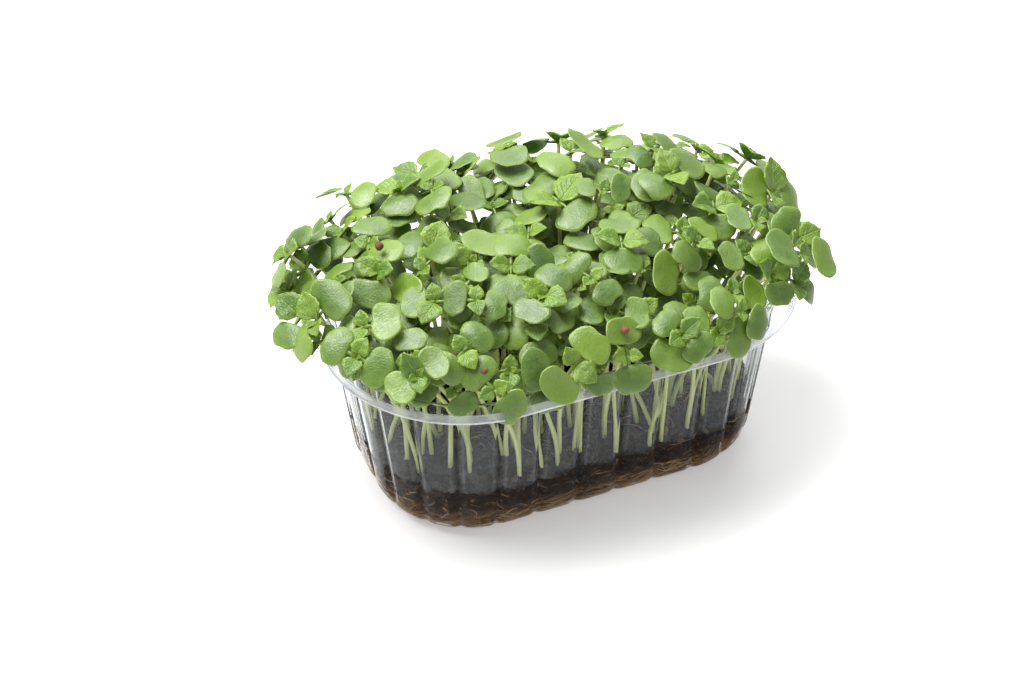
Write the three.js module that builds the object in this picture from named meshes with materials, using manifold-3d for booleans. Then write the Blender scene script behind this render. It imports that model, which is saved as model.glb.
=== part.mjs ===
// Microgreens in a clear fluted tray. Millimetres, +Z up, long side along X.
// The origin is the middle of the tray's flat base.
import * as THREE from 'three';
import { mergeVertices } from 'three/addons/utils/BufferGeometryUtils.js';
import Module from 'manifold-3d';

// Tray. An offset is measured inward from the outer edge of the rim.
const RIM_LENGTH = 107;
const RIM_WIDTH = 73.5;
const RIM_CORNER = 31;
const TRAY_HEIGHT = 42;
const WALL = 0.8;
const FLANGE = 4.6;
const LIP_DROP = 2.4;
const LIP_WALL = 0.75;
const LEDGE_DEPTH = 3.8;
const LEDGE_FLARE = 0.3;
const DRAFT = 4.3;
const FOOT_HEIGHT = 6.2;
const FOOT_INSET = 6.3;
const FOOT_BEND = 1;
const FOOT_FLUTE = 0.8;
const FLUTE_COUNT = 28;
const FLUTE_DEPTH = 1.1;
const GROOVE_SHARE = 0.16;

// Growing medium
const SOIL_TOP = 16;
const SOIL_GAP = 0.35;

// Seedlings, up to three to a root clump
const CLUMP_COUNT = 54;
const SEED = 21;
const ROOT_SPREAD = new THREE.Vector2(41, 24.5);
const HEAD_SPREAD = new THREE.Vector2(57, 35);
const OUTLINE_POWER = 2.6;
const HEADS_PER_CLUMP = 3;
const HEAD_REACH = 5.5;
const FOOT_REACH = 0.5;
const CANOPY_TOP = 57;
const CANOPY_FALL = 7.5;
const CANOPY_TILT = 4;
const LOWEST_EDGE_HEAD = 45.5;
const TRIES = 400;
const WANDER = 6;
const DROP = 15;
const LIFT_SHARE = 0.3;
const HEIGHT_JITTER = 3;
const LOWER_INSIDE = 8;
const OUTWARD_LEAN = 0.75;
const LIGHT_LEAN = new THREE.Vector2(-0.1, -0.24);
const LEAN_JITTER = 0.45;
const STEM_RADIUS = 0.72;
const STEM_SUNK = 3;
const STEM_STEPS = 3;
const PLUG_RADIUS = 2.3;
const PLUG_DEPTH = 6;
const PLUG_PROUD = 0.4;
const PLUG_TAPER = 0.8;
const PLUG_SIDES = 4;
const POCKET_GAP = 0.35;

// Leaves, measured from the node where both pairs meet. Each pair's stalks share one small square.
const LEAF_THICKNESS = 0.75;
const STALK_HALF_WIDTH = 0.75;
const SEED_LEAF_MIDDLE = 5.4;
const SEED_LEAF_HALF_LENGTH = 3.8;
const SEED_LEAF_HALF_WIDTH = 4.7;
const SEED_LEAF_NOTCH = 0.12;
const SEED_LEAF_ANGLES = [118, 56, 0, -56, -118];
const SEED_LEAF_KIDNEY = 0.1;
const SEED_LEAF_RISE = 0.36;
const SEED_LEAF_CROWN = 0.025;
const SEED_LEAF_DROOP = [0.035, 0.06];
const TRUE_LEAF_OUTLINE = [[2.9, 2.1], [5.7, 0], [2.9, -2.1]];
const TRUE_LEAF_RISE = 0.62;
const TRUE_LEAF_ARCH = 0.03;
const TRUE_LEAF_FOLD = 0.3;
const TRUE_LEAF_SIZE = [0.55, 1.15];
const SEEDLING_SIZE = [0.8, 1.06];

// Spacing of the points that stand for a seedling, and how far two seedlings' points keep apart
const CLEARANCE = 1.35;
const RINGS_PER_LEAF = [[0, 1], [0.36, 6], [0.7, 11], [1, 16]];
const MIDRIB_SAMPLES = [[1.6, 0], [2.9, 0], [4.3, 0], [5.7, 0]];
const SIDE_SAMPLES = [[2.9, 2.1], [2.9, -2.1], [4.3, 1], [4.3, -1]];
const STEM_POINTS = 22;
const STEMS_PART_AT = 0.35;

// Shed seed hulls: half sizes and the place in plan whose nearest head carries each
const HULL_HALF_SIZE = new THREE.Vector3(1.25, 0.95, 0.85);
const HULL_GAP = 0.35;
const HULL_ROOM = [1.8, 3.2, 4.6];
const HULL_PLACES = [new THREE.Vector2(-35, 2), new THREE.Vector2(5, -35), new THREE.Vector2(-25, -36)];

const CORE_X = RIM_LENGTH / 2 - RIM_CORNER;
const CORE_Y = RIM_WIDTH / 2 - RIM_CORNER;
const DEGREE = Math.PI / 180;
const GOLDEN_ANGLE = 137.508 * DEGREE;
const PLASTIC = 1.324717957244746;

const wasm = await Module();
wasm.setup();

const FINISHES = {
  tray: { color: 0xe4e9e8, roughness: 0.12, metalness: 0, transparent: true, opacity: 0.3 },
  soil: { color: 0x2b221c, roughness: 0.95, metalness: 0 },
  leaf: { color: 0x7ea84f, roughness: 0.55, metalness: 0 },
  hull: { color: 0x5a3a26, roughness: 0.6, metalness: 0 },
};

function namedMesh(name, geometry, finish) {
  const material = new THREE.MeshStandardMaterial(FINISHES[finish]);
  const mesh = new THREE.Mesh(geometry, material);
  mesh.name = name;
  return mesh;
}

// A repeatable draw between 0 and 1
function seededRandom(seed) {
  let state = seed >>> 0;
  return () => {
    state = (Math.imul(state, 1664525) + 1013904223) >>> 0;
    return state / 4294967296;
  };
}

function between([low, high], share) {
  return low + (high - low) * share;
}

function toSolid(geometry) {
  const bare = geometry.clone();
  bare.deleteAttribute('normal');
  bare.deleteAttribute('uv');
  const merged = mergeVertices(bare, 1e-4);
  return new wasm.Manifold(new wasm.Mesh({
    numProp: 3,
    vertProperties: new Float32Array(merged.attributes.position.array),
    triVerts: new Uint32Array(merged.index.array),
  }));
}

function fromSolid(solid) {
  const mesh = solid.getMesh();
  const geometry = new THREE.BufferGeometry();
  geometry.setAttribute('position', new THREE.BufferAttribute(mesh.vertProperties, 3));
  geometry.setIndex(new THREE.BufferAttribute(mesh.triVerts, 1));
  geometry.computeVertexNormals();
  return geometry;
}

function indexedGeometry(points, triangles) {
  const geometry = new THREE.BufferGeometry();
  geometry.setFromPoints(points);
  geometry.setIndex(triangles);
  geometry.computeVertexNormals();
  return geometry;
}

// Core point and outward normal at a distance along the wall's plan, which is a rectangle with round corners
function planStation(distance, radius) {
  const corners = [[1, -1], [1, 1], [-1, 1], [-1, -1]];
  const quarter = (Math.PI / 2) * radius;
  let left = distance;
  for (let side = 0; side < 4; side += 1) {
    const start = new THREE.Vector2(corners[side][0] * CORE_X, corners[side][1] * CORE_Y);
    const next = corners[(side + 1) % 4];
    const end = new THREE.Vector2(next[0] * CORE_X, next[1] * CORE_Y);
    const length = start.distanceTo(end);
    let turn = side * 90 * DEGREE;
    if (left <= length) {
      return { core: start.lerp(end, left / length), turn };
    }
    left -= length;
    if (left <= quarter) {
      turn += left / radius;
      return { core: end, turn };
    }
    left -= quarter;
  }
  return { core: new THREE.Vector2(CORE_X, -CORE_Y), turn: 0 };
}

// Three stations to a flute: both edges of its panel, and the bottom of the groove beside it
function fluteStations() {
  const radius = RIM_CORNER - FLANGE - DRAFT / 2;
  const perimeter = 4 * (CORE_X + CORE_Y) + 2 * Math.PI * radius;
  const pitch = perimeter / FLUTE_COUNT;
  const stations = [];
  for (let flute = 0; flute < FLUTE_COUNT; flute += 1) {
    for (const [share, groove] of [[0, 1], [GROOVE_SHARE, 0], [1 - GROOVE_SHARE, 0]]) {
      const station = planStation((flute + share) * pitch, radius);
      station.groove = groove;
      stations.push(station);
    }
  }
  return stations;
}

const STATIONS = fluteStations();

function ringPoint(station, offset, z, flute) {
  const radius = RIM_CORNER - offset - flute * FLUTE_DEPTH * station.groove;
  const x = station.core.x + Math.cos(station.turn) * radius;
  const y = station.core.y + Math.sin(station.turn) * radius;
  return new THREE.Vector3(x, y, z);
}

// A closed skin through rings of points, with a fan over the first ring and another over the last
function loft(rings, firstMiddle, lastMiddle) {
  const count = rings[0].length;
  const points = rings.flat();
  const triangles = [];
  for (let ring = 0; ring + 1 < rings.length; ring += 1) {
    for (let i = 0; i < count; i += 1) {
      const a = ring * count + i;
      const b = ring * count + ((i + 1) % count);
      triangles.push(a, b, b + count, a, b + count, a + count);
    }
  }
  const first = points.length;
  points.push(firstMiddle, lastMiddle);
  const last = (rings.length - 1) * count;
  for (let i = 0; i < count; i += 1) {
    const j = (i + 1) % count;
    triangles.push(first, j, i, first + 1, last + i, last + j);
  }
  return indexedGeometry(points, triangles);
}

function ringsOf(profile) {
  return profile.map(([offset, z, flute]) => STATIONS.map((station) => ringPoint(station, offset, z, flute)));
}

// Wall profile as offset, height and share of the flutes: up the outside, over the rim and down to the floor
function trayGeometry() {
  const foot = FLANGE + DRAFT;
  const lipEnd = TRAY_HEIGHT - LIP_DROP;
  const wallTop = TRAY_HEIGHT - LEDGE_DEPTH;
  const rings = ringsOf([
    [foot + FOOT_INSET, 0, 0],
    [foot + FOOT_BEND, FOOT_HEIGHT / 2, FOOT_FLUTE],
    [foot, FOOT_HEIGHT, 1],
    [FLANGE + LEDGE_FLARE, wallTop, 1],
    [FLANGE, TRAY_HEIGHT - 1.75 * WALL, 0],
    [1.2 * LIP_WALL, TRAY_HEIGHT - 1.4 * WALL, 0],
    [LIP_WALL, lipEnd, 0],
    [0, lipEnd, 0],
    [LIP_WALL, TRAY_HEIGHT, 0],
    [FLANGE - WALL / 2, TRAY_HEIGHT - WALL / 2, 0],
    [FLANGE + LEDGE_FLARE + WALL, wallTop, 1],
    [foot + WALL, FOOT_HEIGHT, 1],
    [foot + FOOT_BEND + WALL, FOOT_HEIGHT / 2 + WALL / 2, FOOT_FLUTE],
    [foot + FOOT_INSET, WALL, 0],
  ]);
  return loft(rings, new THREE.Vector3(0, 0, 0), new THREE.Vector3(0, 0, WALL));
}

// The medium fills the foot of the tray, a hair clear of the wall, with a pocket for each root clump
function soilGeometry(clumps) {
  const foot = FLANGE + DRAFT + WALL + SOIL_GAP;
  const rise = (SOIL_TOP - FOOT_HEIGHT) / (TRAY_HEIGHT - LEDGE_DEPTH - FOOT_HEIGHT);
  const rings = ringsOf([
    [foot + FOOT_INSET - WALL / 2, WALL + SOIL_GAP, 0],
    [foot + FOOT_BEND, FOOT_HEIGHT / 2 + WALL / 2 + SOIL_GAP, FOOT_FLUTE],
    [foot, FOOT_HEIGHT, 1],
    [foot - DRAFT * rise, SOIL_TOP, 1],
  ]);
  const floor = new THREE.Vector3(0, 0, WALL + SOIL_GAP);
  let soil = toSolid(loft(rings, floor, new THREE.Vector3(0, 0, SOIL_TOP)));
  for (const clump of clumps) {
    soil = soil.subtract(toSolid(rootPlug(clump, POCKET_GAP)));
  }
  return fromSolid(soil);
}

// Four-sided plug of roots, grown by a margin for the pocket that holds it
function rootPlug(clump, margin) {
  const top = SOIL_TOP + PLUG_PROUD + margin;
  const bottom = SOIL_TOP - PLUG_DEPTH - margin;
  const radius = PLUG_RADIUS + margin;
  const plug = new THREE.CylinderGeometry(radius, radius * PLUG_TAPER, top - bottom, PLUG_SIDES);
  plug.rotateX(90 * DEGREE);
  plug.translate(clump.foot.x, clump.foot.y, (top + bottom) / 2);
  return plug;
}

// Local surface of a seed-leaf pair: it rises from the node, arches and falls to its tip and edges
function seedLeafHeight(u, v, droop) {
  return SEED_LEAF_RISE * Math.abs(u) - droop * u * u - SEED_LEAF_CROWN * v * v;
}

function seedLeafEdge(angle) {
  const along = SEED_LEAF_HALF_LENGTH * Math.cos(angle);
  const notch = 1 - SEED_LEAF_NOTCH * Math.max(0, Math.cos(angle)) ** 12;
  const across = SEED_LEAF_HALF_WIDTH * Math.sin(angle) * (1 - SEED_LEAF_KIDNEY * Math.cos(angle));
  return new THREE.Vector2(SEED_LEAF_MIDDLE + along * notch, across);
}

// Local surface of a true-leaf pair: it stands up from the node, folded along its midrib
function trueLeafHeight(along, across) {
  const spine = TRUE_LEAF_RISE * Math.abs(along) - TRUE_LEAF_ARCH * along * along;
  return spine + TRUE_LEAF_FOLD * Math.abs(across);
}

// Point of a head from its place along the seed leaves, across them and along the head's axis
function headPoint(head, along, across, height) {
  const point = head.middle.clone();
  point.addScaledVector(head.along, along * head.size);
  point.addScaledVector(head.across, across * head.size);
  return point.addScaledVector(head.axis, height * head.size);
}

function seedLeafPoint(head, u, v) {
  return headPoint(head, u, v, seedLeafHeight(u, v, head.droop));
}

function trueLeafPoint(head, along, across) {
  const grown = head.trueSize;
  return headPoint(head, -across * grown, along * grown, trueLeafHeight(along, across) * grown);
}

// Both pairs of leaves as one thin plate, a lobe on each side of a small square, split alike on both faces
function leavesGeometry(head) {
  const top = [];
  const corners = [];
  for (const [x, y] of [[1, 1], [-1, 1], [-1, -1], [1, -1]]) {
    corners.push(top.length);
    top.push(seedLeafPoint(head, x * STALK_HALF_WIDTH, y * STALK_HALF_WIDTH));
  }
  const faces = [[0, 1, 2], [0, 2, 3]];
  const rim = [];
  const addLobe = (startCorner, endCorner, edge, middle) => {
    const loop = [startCorner, ...edge.map((point) => top.push(point) - 1), endCorner];
    const fanFrom = middle ? top.push(middle) - 1 : loop[2];
    for (let i = 0; i < loop.length; i += 1) {
      const next = loop[(i + 1) % loop.length];
      if (loop[i] !== fanFrom && next !== fanFrom) {
        faces.push([fanFrom, loop[i], next]);
      }
      if (i + 1 < loop.length) {
        rim.push([loop[i], next]);
      }
    }
  };
  for (const side of [1, -1]) {
    const edge = SEED_LEAF_ANGLES.map((angle) => {
      const place = seedLeafEdge(-angle * DEGREE);
      return seedLeafPoint(head, side * place.x, side * place.y);
    });
    const middle = seedLeafPoint(head, side * SEED_LEAF_MIDDLE, 0);
    addLobe(side > 0 ? corners[3] : corners[1], side > 0 ? corners[0] : corners[2], edge, middle);
    const leaf = TRUE_LEAF_OUTLINE.map(([along, across]) => (
      trueLeafPoint(head, side * along, -side * across)
    ));
    addLobe(side > 0 ? corners[0] : corners[2], side > 0 ? corners[1] : corners[3], leaf, null);
  }
  const count = top.length;
  const below = top.map((point) => point.clone().addScaledVector(head.axis, -LEAF_THICKNESS));
  const triangles = [];
  for (const [a, b, c] of faces) {
    triangles.push(a, b, c, a + count, c + count, b + count);
  }
  for (const [a, b] of rim) {
    triangles.push(b, a, a + count, b, a + count, b + count);
  }
  return indexedGeometry([...top, ...below], triangles);
}

function stemCurve(head) {
  const rise = head.middle.z - head.foot.z;
  const lower = head.foot.clone().lerp(head.middle, 0.12);
  lower.z = head.foot.z + rise * 0.45;
  const upper = head.middle.clone().addScaledVector(head.axis, -rise * 0.3);
  const end = head.middle.clone().addScaledVector(head.axis, -0.3 * head.size);
  return new THREE.CubicBezierCurve3(head.foot, lower, upper, end);
}

function stemGeometry(head) {
  const section = new THREE.Shape();
  for (let corner = 0; corner < 3; corner += 1) {
    const turn = corner * 120 * DEGREE;
    section[corner ? 'lineTo' : 'moveTo'](STEM_RADIUS * Math.cos(turn), STEM_RADIUS * Math.sin(turn));
  }
  const settings = { steps: STEM_STEPS, bevelEnabled: false, extrudePath: stemCurve(head) };
  return new THREE.ExtrudeGeometry(section, settings);
}

// Points all over a seedling that stand for it when the next one looks for a free place
function samplePoints(head) {
  const points = [];
  for (const side of [1, -1]) {
    for (const [share, count] of RINGS_PER_LEAF) {
      for (let i = 0; i < count; i += 1) {
        const edge = seedLeafEdge((i / count) * 2 * Math.PI);
        const u = SEED_LEAF_MIDDLE + (edge.x - SEED_LEAF_MIDDLE) * share;
        points.push(seedLeafPoint(head, side * u, side * edge.y * share));
      }
    }
    for (const [along, across] of [...MIDRIB_SAMPLES, ...SIDE_SAMPLES]) {
      points.push(trueLeafPoint(head, side * along, across));
    }
  }
  const stem = stemCurve(head);
  for (let i = 0; i <= STEM_POINTS; i += 1) {
    points.push(stem.getPoint(STEMS_PART_AT + (1 - STEMS_PART_AT) * (i / STEM_POINTS)));
  }
  return points;
}

// Points along the rim that leaves and stems keep clear of
function rimPoints() {
  const points = [];
  const radius = RIM_CORNER - FLANGE;
  const perimeter = 4 * (CORE_X + CORE_Y) + 2 * Math.PI * radius;
  for (let distance = 0; distance < perimeter; distance += CLEARANCE) {
    const station = { ...planStation(distance, radius), groove: 1 };
    points.push(ringPoint(station, 0, TRAY_HEIGHT - LIP_DROP, 0));
    points.push(ringPoint(station, LIP_WALL, TRAY_HEIGHT, 0));
    points.push(ringPoint(station, FLANGE / 2, TRAY_HEIGHT, 0));
    points.push(ringPoint(station, FLANGE, TRAY_HEIGHT, 0));
    points.push(ringPoint(station, FLANGE + WALL, TRAY_HEIGHT - LEDGE_DEPTH, 1));
  }
  return points;
}

// Points kept in cubes as wide as the clearance, so that a near one is found in the cubes around a place
class PointStore {
  constructor() {
    this.cells = new Map();
  }

  static cell(value) {
    return Math.floor(value / CLEARANCE) + 500;
  }

  static key(x, y, z) {
    return (z * 1000 + y) * 1000 + x;
  }

  add(points) {
    for (const point of points) {
      const key = PointStore.key(...point.toArray().map(PointStore.cell));
      if (!this.cells.has(key)) {
        this.cells.set(key, []);
      }
      this.cells.get(key).push(point);
    }
  }

  isNear(point) {
    const [x, y, z] = point.toArray().map(PointStore.cell);
    for (let i = 0; i < 27; i += 1) {
      const key = PointStore.key(x - 1 + (i % 3), y - 1 + (Math.floor(i / 3) % 3), z - 1 + Math.floor(i / 9));
      for (const taken of this.cells.get(key) || []) {
        if (point.distanceToSquared(taken) < CLEARANCE * CLEARANCE) {
          return true;
        }
      }
    }
    return false;
  }
}

// How far out a place lies in a rounded rectangle of half sizes 1, where the edge is 1
function outlineShare(place) {
  return (Math.abs(place.x) ** OUTLINE_POWER + Math.abs(place.y) ** OUTLINE_POWER) ** (1 / OUTLINE_POWER);
}

// Evenly spread places in a rounded rectangle of half sizes 1, from steps of the plastic ratio
function spreadPlaces(count) {
  const places = [];
  for (let i = 1; places.length < count; i += 1) {
    const x = 2 * ((0.5 + i / PLASTIC) % 1) - 1;
    const y = 2 * ((0.5 + i / (PLASTIC * PLASTIC)) % 1) - 1;
    const place = new THREE.Vector2(x, y);
    if (outlineShare(place) < 1) {
      places.push(place);
    }
  }
  return places;
}

// One trial head: later tries let it wander and drop further from its first place
function trialHead(clump, spoke, attempt, random) {
  const spin = clump.turn + (spoke / HEADS_PER_CLUMP) * 2 * Math.PI;
  const reach = new THREE.Vector2(Math.cos(spin), Math.sin(spin));
  const plan = clump.place.clone().multiply(HEAD_SPREAD).addScaledVector(reach, HEAD_REACH);
  const freedom = attempt / TRIES;
  plan.x += freedom * WANDER * (2 * random() - 1);
  plan.y += freedom * WANDER * (2 * random() - 1);
  const outward = plan.clone().divide(HEAD_SPREAD);
  const spread = outlineShare(outward);
  const keep = Math.min(1, 1 / spread);
  plan.multiplyScalar(keep);
  outward.multiplyScalar(keep);
  const edge = Math.min(1, spread);
  const level = CANOPY_TOP - CANOPY_FALL * edge ** 3 + CANOPY_TILT * outward.y;
  const drop = freedom * DROP * (random() - LIFT_SHARE) + HEIGHT_JITTER * (random() - 0.5);
  const height = Math.max(level - drop, LOWEST_EDGE_HEAD - LOWER_INSIDE * (1 - edge));
  const lean = outward.multiplyScalar(OUTWARD_LEAN * edge).add(LIGHT_LEAN);
  lean.x += LEAN_JITTER * (random() - 0.5);
  lean.y += LEAN_JITTER * (random() - 0.5);
  const axis = new THREE.Vector3(lean.x, lean.y, 1).normalize();
  const first = new THREE.Vector3(1, 0, 0).addScaledVector(axis, -axis.x).normalize();
  const second = axis.clone().cross(first);
  const yaw = random() * Math.PI;
  const along = first.clone().multiplyScalar(Math.cos(yaw)).addScaledVector(second, Math.sin(yaw));
  const foot = new THREE.Vector3(clump.foot.x, clump.foot.y, SOIL_TOP - STEM_SUNK);
  foot.x += reach.x * FOOT_REACH;
  foot.y += reach.y * FOOT_REACH;
  return {
    foot,
    axis,
    along,
    across: axis.clone().cross(along),
    middle: new THREE.Vector3(plan.x, plan.y, height),
    size: between(SEEDLING_SIZE, random()),
    droop: between(SEED_LEAF_DROOP, random()),
    trueSize: between(TRUE_LEAF_SIZE, random()),
  };
}

// Seedlings take their places one after another, each on the first try that is clear of the rest
function growSeedlings() {
  const random = seededRandom(SEED);
  const taken = new PointStore();
  taken.add(rimPoints());
  const clumps = spreadPlaces(CLUMP_COUNT).map((place, index) => (
    { place, foot: place.clone().multiply(ROOT_SPREAD), turn: index * GOLDEN_ANGLE, heads: [] }
  ));
  for (let spoke = 0; spoke < HEADS_PER_CLUMP; spoke += 1) {
    for (const clump of clumps) {
      for (let attempt = 0; attempt < TRIES; attempt += 1) {
        const head = trialHead(clump, spoke, attempt, random);
        const points = samplePoints(head);
        if (!points.some((point) => taken.isNear(point))) {
          clump.heads.push(head);
          taken.add(points);
          break;
        }
      }
    }
  }
  return { clumps: clumps.filter((clump) => clump.heads.length > 0), taken };
}

function clumpGeometry(clump) {
  let solid = toSolid(rootPlug(clump, 0, 0));
  for (const head of clump.heads) {
    for (const piece of [stemGeometry(head), leavesGeometry(head)]) {
      solid = solid.add(toSolid(piece));
    }
  }
  return fromSolid(solid);
}

// A shed hull lies on the free seed leaf that is nearest to its place
function seedHull(name, place, heads, taken) {
  const leaves = [];
  for (const head of heads) {
    for (const side of [1, -1]) {
      const middle = seedLeafPoint(head, side * SEED_LEAF_MIDDLE, 0);
      leaves.push({ head, middle, distance: Math.hypot(middle.x - place.x, middle.y - place.y) });
    }
  }
  leaves.sort((a, b) => a.distance - b.distance);
  const above = (leaf, height) => leaf.middle.clone().addScaledVector(leaf.head.axis, height);
  const free = leaves.find((leaf) => HULL_ROOM.every((height) => !taken.isNear(above(leaf, height))));
  const geometry = new THREE.SphereGeometry(1, 6, 4);
  geometry.scale(HULL_HALF_SIZE.x, HULL_HALF_SIZE.y, HULL_HALF_SIZE.z);
  const hull = namedMesh(name, geometry, 'hull');
  const { along, across, axis } = free.head;
  hull.quaternion.setFromRotationMatrix(new THREE.Matrix4().makeBasis(along, across, axis));
  hull.position.copy(above(free, HULL_HALF_SIZE.z + HULL_GAP));
  return hull;
}

const { clumps, taken } = growSeedlings();
const heads = clumps.flatMap((clump) => clump.heads);
const microgreens = new THREE.Group();
microgreens.add(namedMesh('tray', trayGeometry(), 'tray'));
microgreens.add(namedMesh('soil', soilGeometry(clumps), 'soil'));
clumps.forEach((clump, index) => {
  const name = `seedlings_${String(index + 1).padStart(2, '0')}`;
  microgreens.add(namedMesh(name, clumpGeometry(clump), 'leaf'));
});
HULL_PLACES.forEach((place, index) => {
  microgreens.add(seedHull(`seed_hull_${index + 1}`, place, heads, taken));
});

export default microgreens;
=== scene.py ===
import logging
import math
import random
from dataclasses import dataclass, field
from enum import Enum, IntEnum

import bmesh
import bpy
import numpy as np
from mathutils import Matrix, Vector, noise


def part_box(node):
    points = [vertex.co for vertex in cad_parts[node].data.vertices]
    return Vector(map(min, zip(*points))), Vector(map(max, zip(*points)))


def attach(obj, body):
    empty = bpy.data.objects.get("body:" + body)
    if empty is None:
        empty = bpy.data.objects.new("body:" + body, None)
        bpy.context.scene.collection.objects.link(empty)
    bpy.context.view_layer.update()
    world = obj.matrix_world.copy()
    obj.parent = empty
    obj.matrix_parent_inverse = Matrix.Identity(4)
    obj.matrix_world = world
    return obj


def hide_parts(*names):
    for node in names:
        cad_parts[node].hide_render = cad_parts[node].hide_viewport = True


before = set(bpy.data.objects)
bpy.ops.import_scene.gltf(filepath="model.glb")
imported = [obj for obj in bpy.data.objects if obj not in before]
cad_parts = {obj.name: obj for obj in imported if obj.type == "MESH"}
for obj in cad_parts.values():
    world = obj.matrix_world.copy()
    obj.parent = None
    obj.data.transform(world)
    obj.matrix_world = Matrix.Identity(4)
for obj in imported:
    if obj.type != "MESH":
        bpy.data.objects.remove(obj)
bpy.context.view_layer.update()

LOG = logging.getLogger("microgreens_tray")
MM = 0.001
Colour = tuple[float, float, float, float]
Socket = bpy.types.NodeSocket
Station = tuple[float, float, float]


class Slot(Enum):
    """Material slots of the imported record."""

    PLASTIC = "clear_plastic"
    MEDIUM = "growing_medium"
    GREENS = "greens"
    HULL = "seed_hull"


class Tissue(IntEnum):
    """Order of the finishes on a clump of seedlings."""

    STEM = 0
    SEED_LEAF = 1
    TRUE_LEAF = 2


class Strand(Enum):
    """Where a loose fibre lies, with its range of tones from dark brown to off-white."""

    BOTTOM_EDGE = (0.25, 0.75)
    STEM_FEET = (0.2, 0.6)
    ON_WALL = (0.15, 0.7)


def srgb(red: int, green: int, blue: int) -> Colour:
    """Turns a display colour into the linear colour that a shader takes.

    Args:
        red, green, blue: display values from 0 to 255.

    Returns:
        Linear colour with full alpha.
    """
    linear = []
    for value in (red, green, blue):
        share = value / 255
        linear.append(share / 12.92 if share <= 0.04045 else ((share + 0.055) / 1.055) ** 2.4)
    return (linear[0], linear[1], linear[2], 1.0)


class Graph:
    """Writes nodes and links into one node tree."""

    def __init__(self, tree: bpy.types.NodeTree) -> None:
        """Takes the tree to write into.

        Args:
            tree: node tree of a material or a group.
        """
        self.tree = tree

    def node(self, kind: str, inputs: dict | None = None, **settings) -> bpy.types.Node:
        """Adds a node.

        Args:
            kind: node type without its ShaderNode prefix.
            inputs: input name or number to a value or a socket.
            settings: properties of the node.

        Returns:
            The new node.
        """
        made = self.tree.nodes.new(kind if kind.startswith("NodeGroup") else "ShaderNode" + kind)
        for key, value in settings.items():
            setattr(made, key, value)
        self.fill(made, inputs or {})
        return made

    def fill(self, node: bpy.types.Node, inputs: dict) -> None:
        """Sets or links inputs of a node.

        Args:
            node: the node.
            inputs: input name or number to a value or a socket.
        """
        for key, value in inputs.items():
            if isinstance(value, Socket):
                self.tree.links.new(value, node.inputs[key])
            else:
                node.inputs[key].default_value = value

    def calc(self, operation: str, *values: float | Socket) -> Socket:
        """Adds a Math node.

        Args:
            operation: its operation.
            values: its inputs in order.

        Returns:
            The result.
        """
        return self.node("Math", dict(enumerate(values)), operation=operation).outputs[0]

    def ramp(self, value: Socket, low: float, high: float, start: float = 0, end: float = 1) -> Socket:
        """Maps a value smoothly from one range to another.

        Args:
            value: the value.
            low, high: range it comes from.
            start, end: range it goes to.

        Returns:
            The mapped value.
        """
        names = ("Value", "From Min", "From Max", "To Min", "To Max")
        inputs = dict(zip(names, (value, low, high, start, end)))
        return self.node("MapRange", inputs, interpolation_type="SMOOTHSTEP").outputs[0]

    def blend(self, share: float | Socket, first: Colour | Socket, second: Colour | Socket) -> Socket:
        """Blends two colours.

        Args:
            share: share of the second colour.
            first, second: the colours.

        Returns:
            The blended colour.
        """
        return self.node("Mix", {0: share, 6: first, 7: second}, data_type="RGBA").outputs[2]

    def noise(self, place: Socket, scale: float, detail: float = 3, roughness: float = 0.55) -> Socket:
        """Adds fractal noise.

        Args:
            place: coordinates.
            scale: cells to a unit.
            detail: octaves.
            roughness: weight of the finer octaves.

        Returns:
            The noise value.
        """
        inputs = {"Vector": place, "Scale": scale, "Detail": detail, "Roughness": roughness}
        return self.node("TexNoise", inputs).outputs["Fac"]

    def place(self) -> Socket:
        """Adds object coordinates.

        Returns:
            The coordinates in metres.
        """
        return self.node("TexCoord").outputs["Object"]

    def stretch(self, place: Socket, share: float) -> Socket:
        """Draws coordinates out along the height.

        Args:
            place: the coordinates.
            share: share of the height that is left.

        Returns:
            The drawn-out coordinates.
        """
        inputs = {0: place, 1: (1, 1, share)}
        return self.node("VectorMath", inputs, operation="MULTIPLY").outputs[0]

    def times(self, first: float | Socket, second: float | Socket) -> Socket:
        """Multiplies two values.

        Args:
            first, second: the values.

        Returns:
            Their product.
        """
        return self.calc("MULTIPLY", first, second)

    def attribute(self, name: str) -> Socket:
        """Reads a number that is kept on the mesh.

        Args:
            name: attribute name.

        Returns:
            Its value.
        """
        return self.node("Attribute", attribute_name=name).outputs["Fac"]

    def effect(self, group: bpy.types.NodeTree, inputs: dict) -> Socket:
        """Adds a shared effect.

        Args:
            group: its node group.
            inputs: values or sockets by name.

        Returns:
            Its mask.
        """
        return self.node("Group", inputs, node_tree=group).outputs["Mask"]


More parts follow.
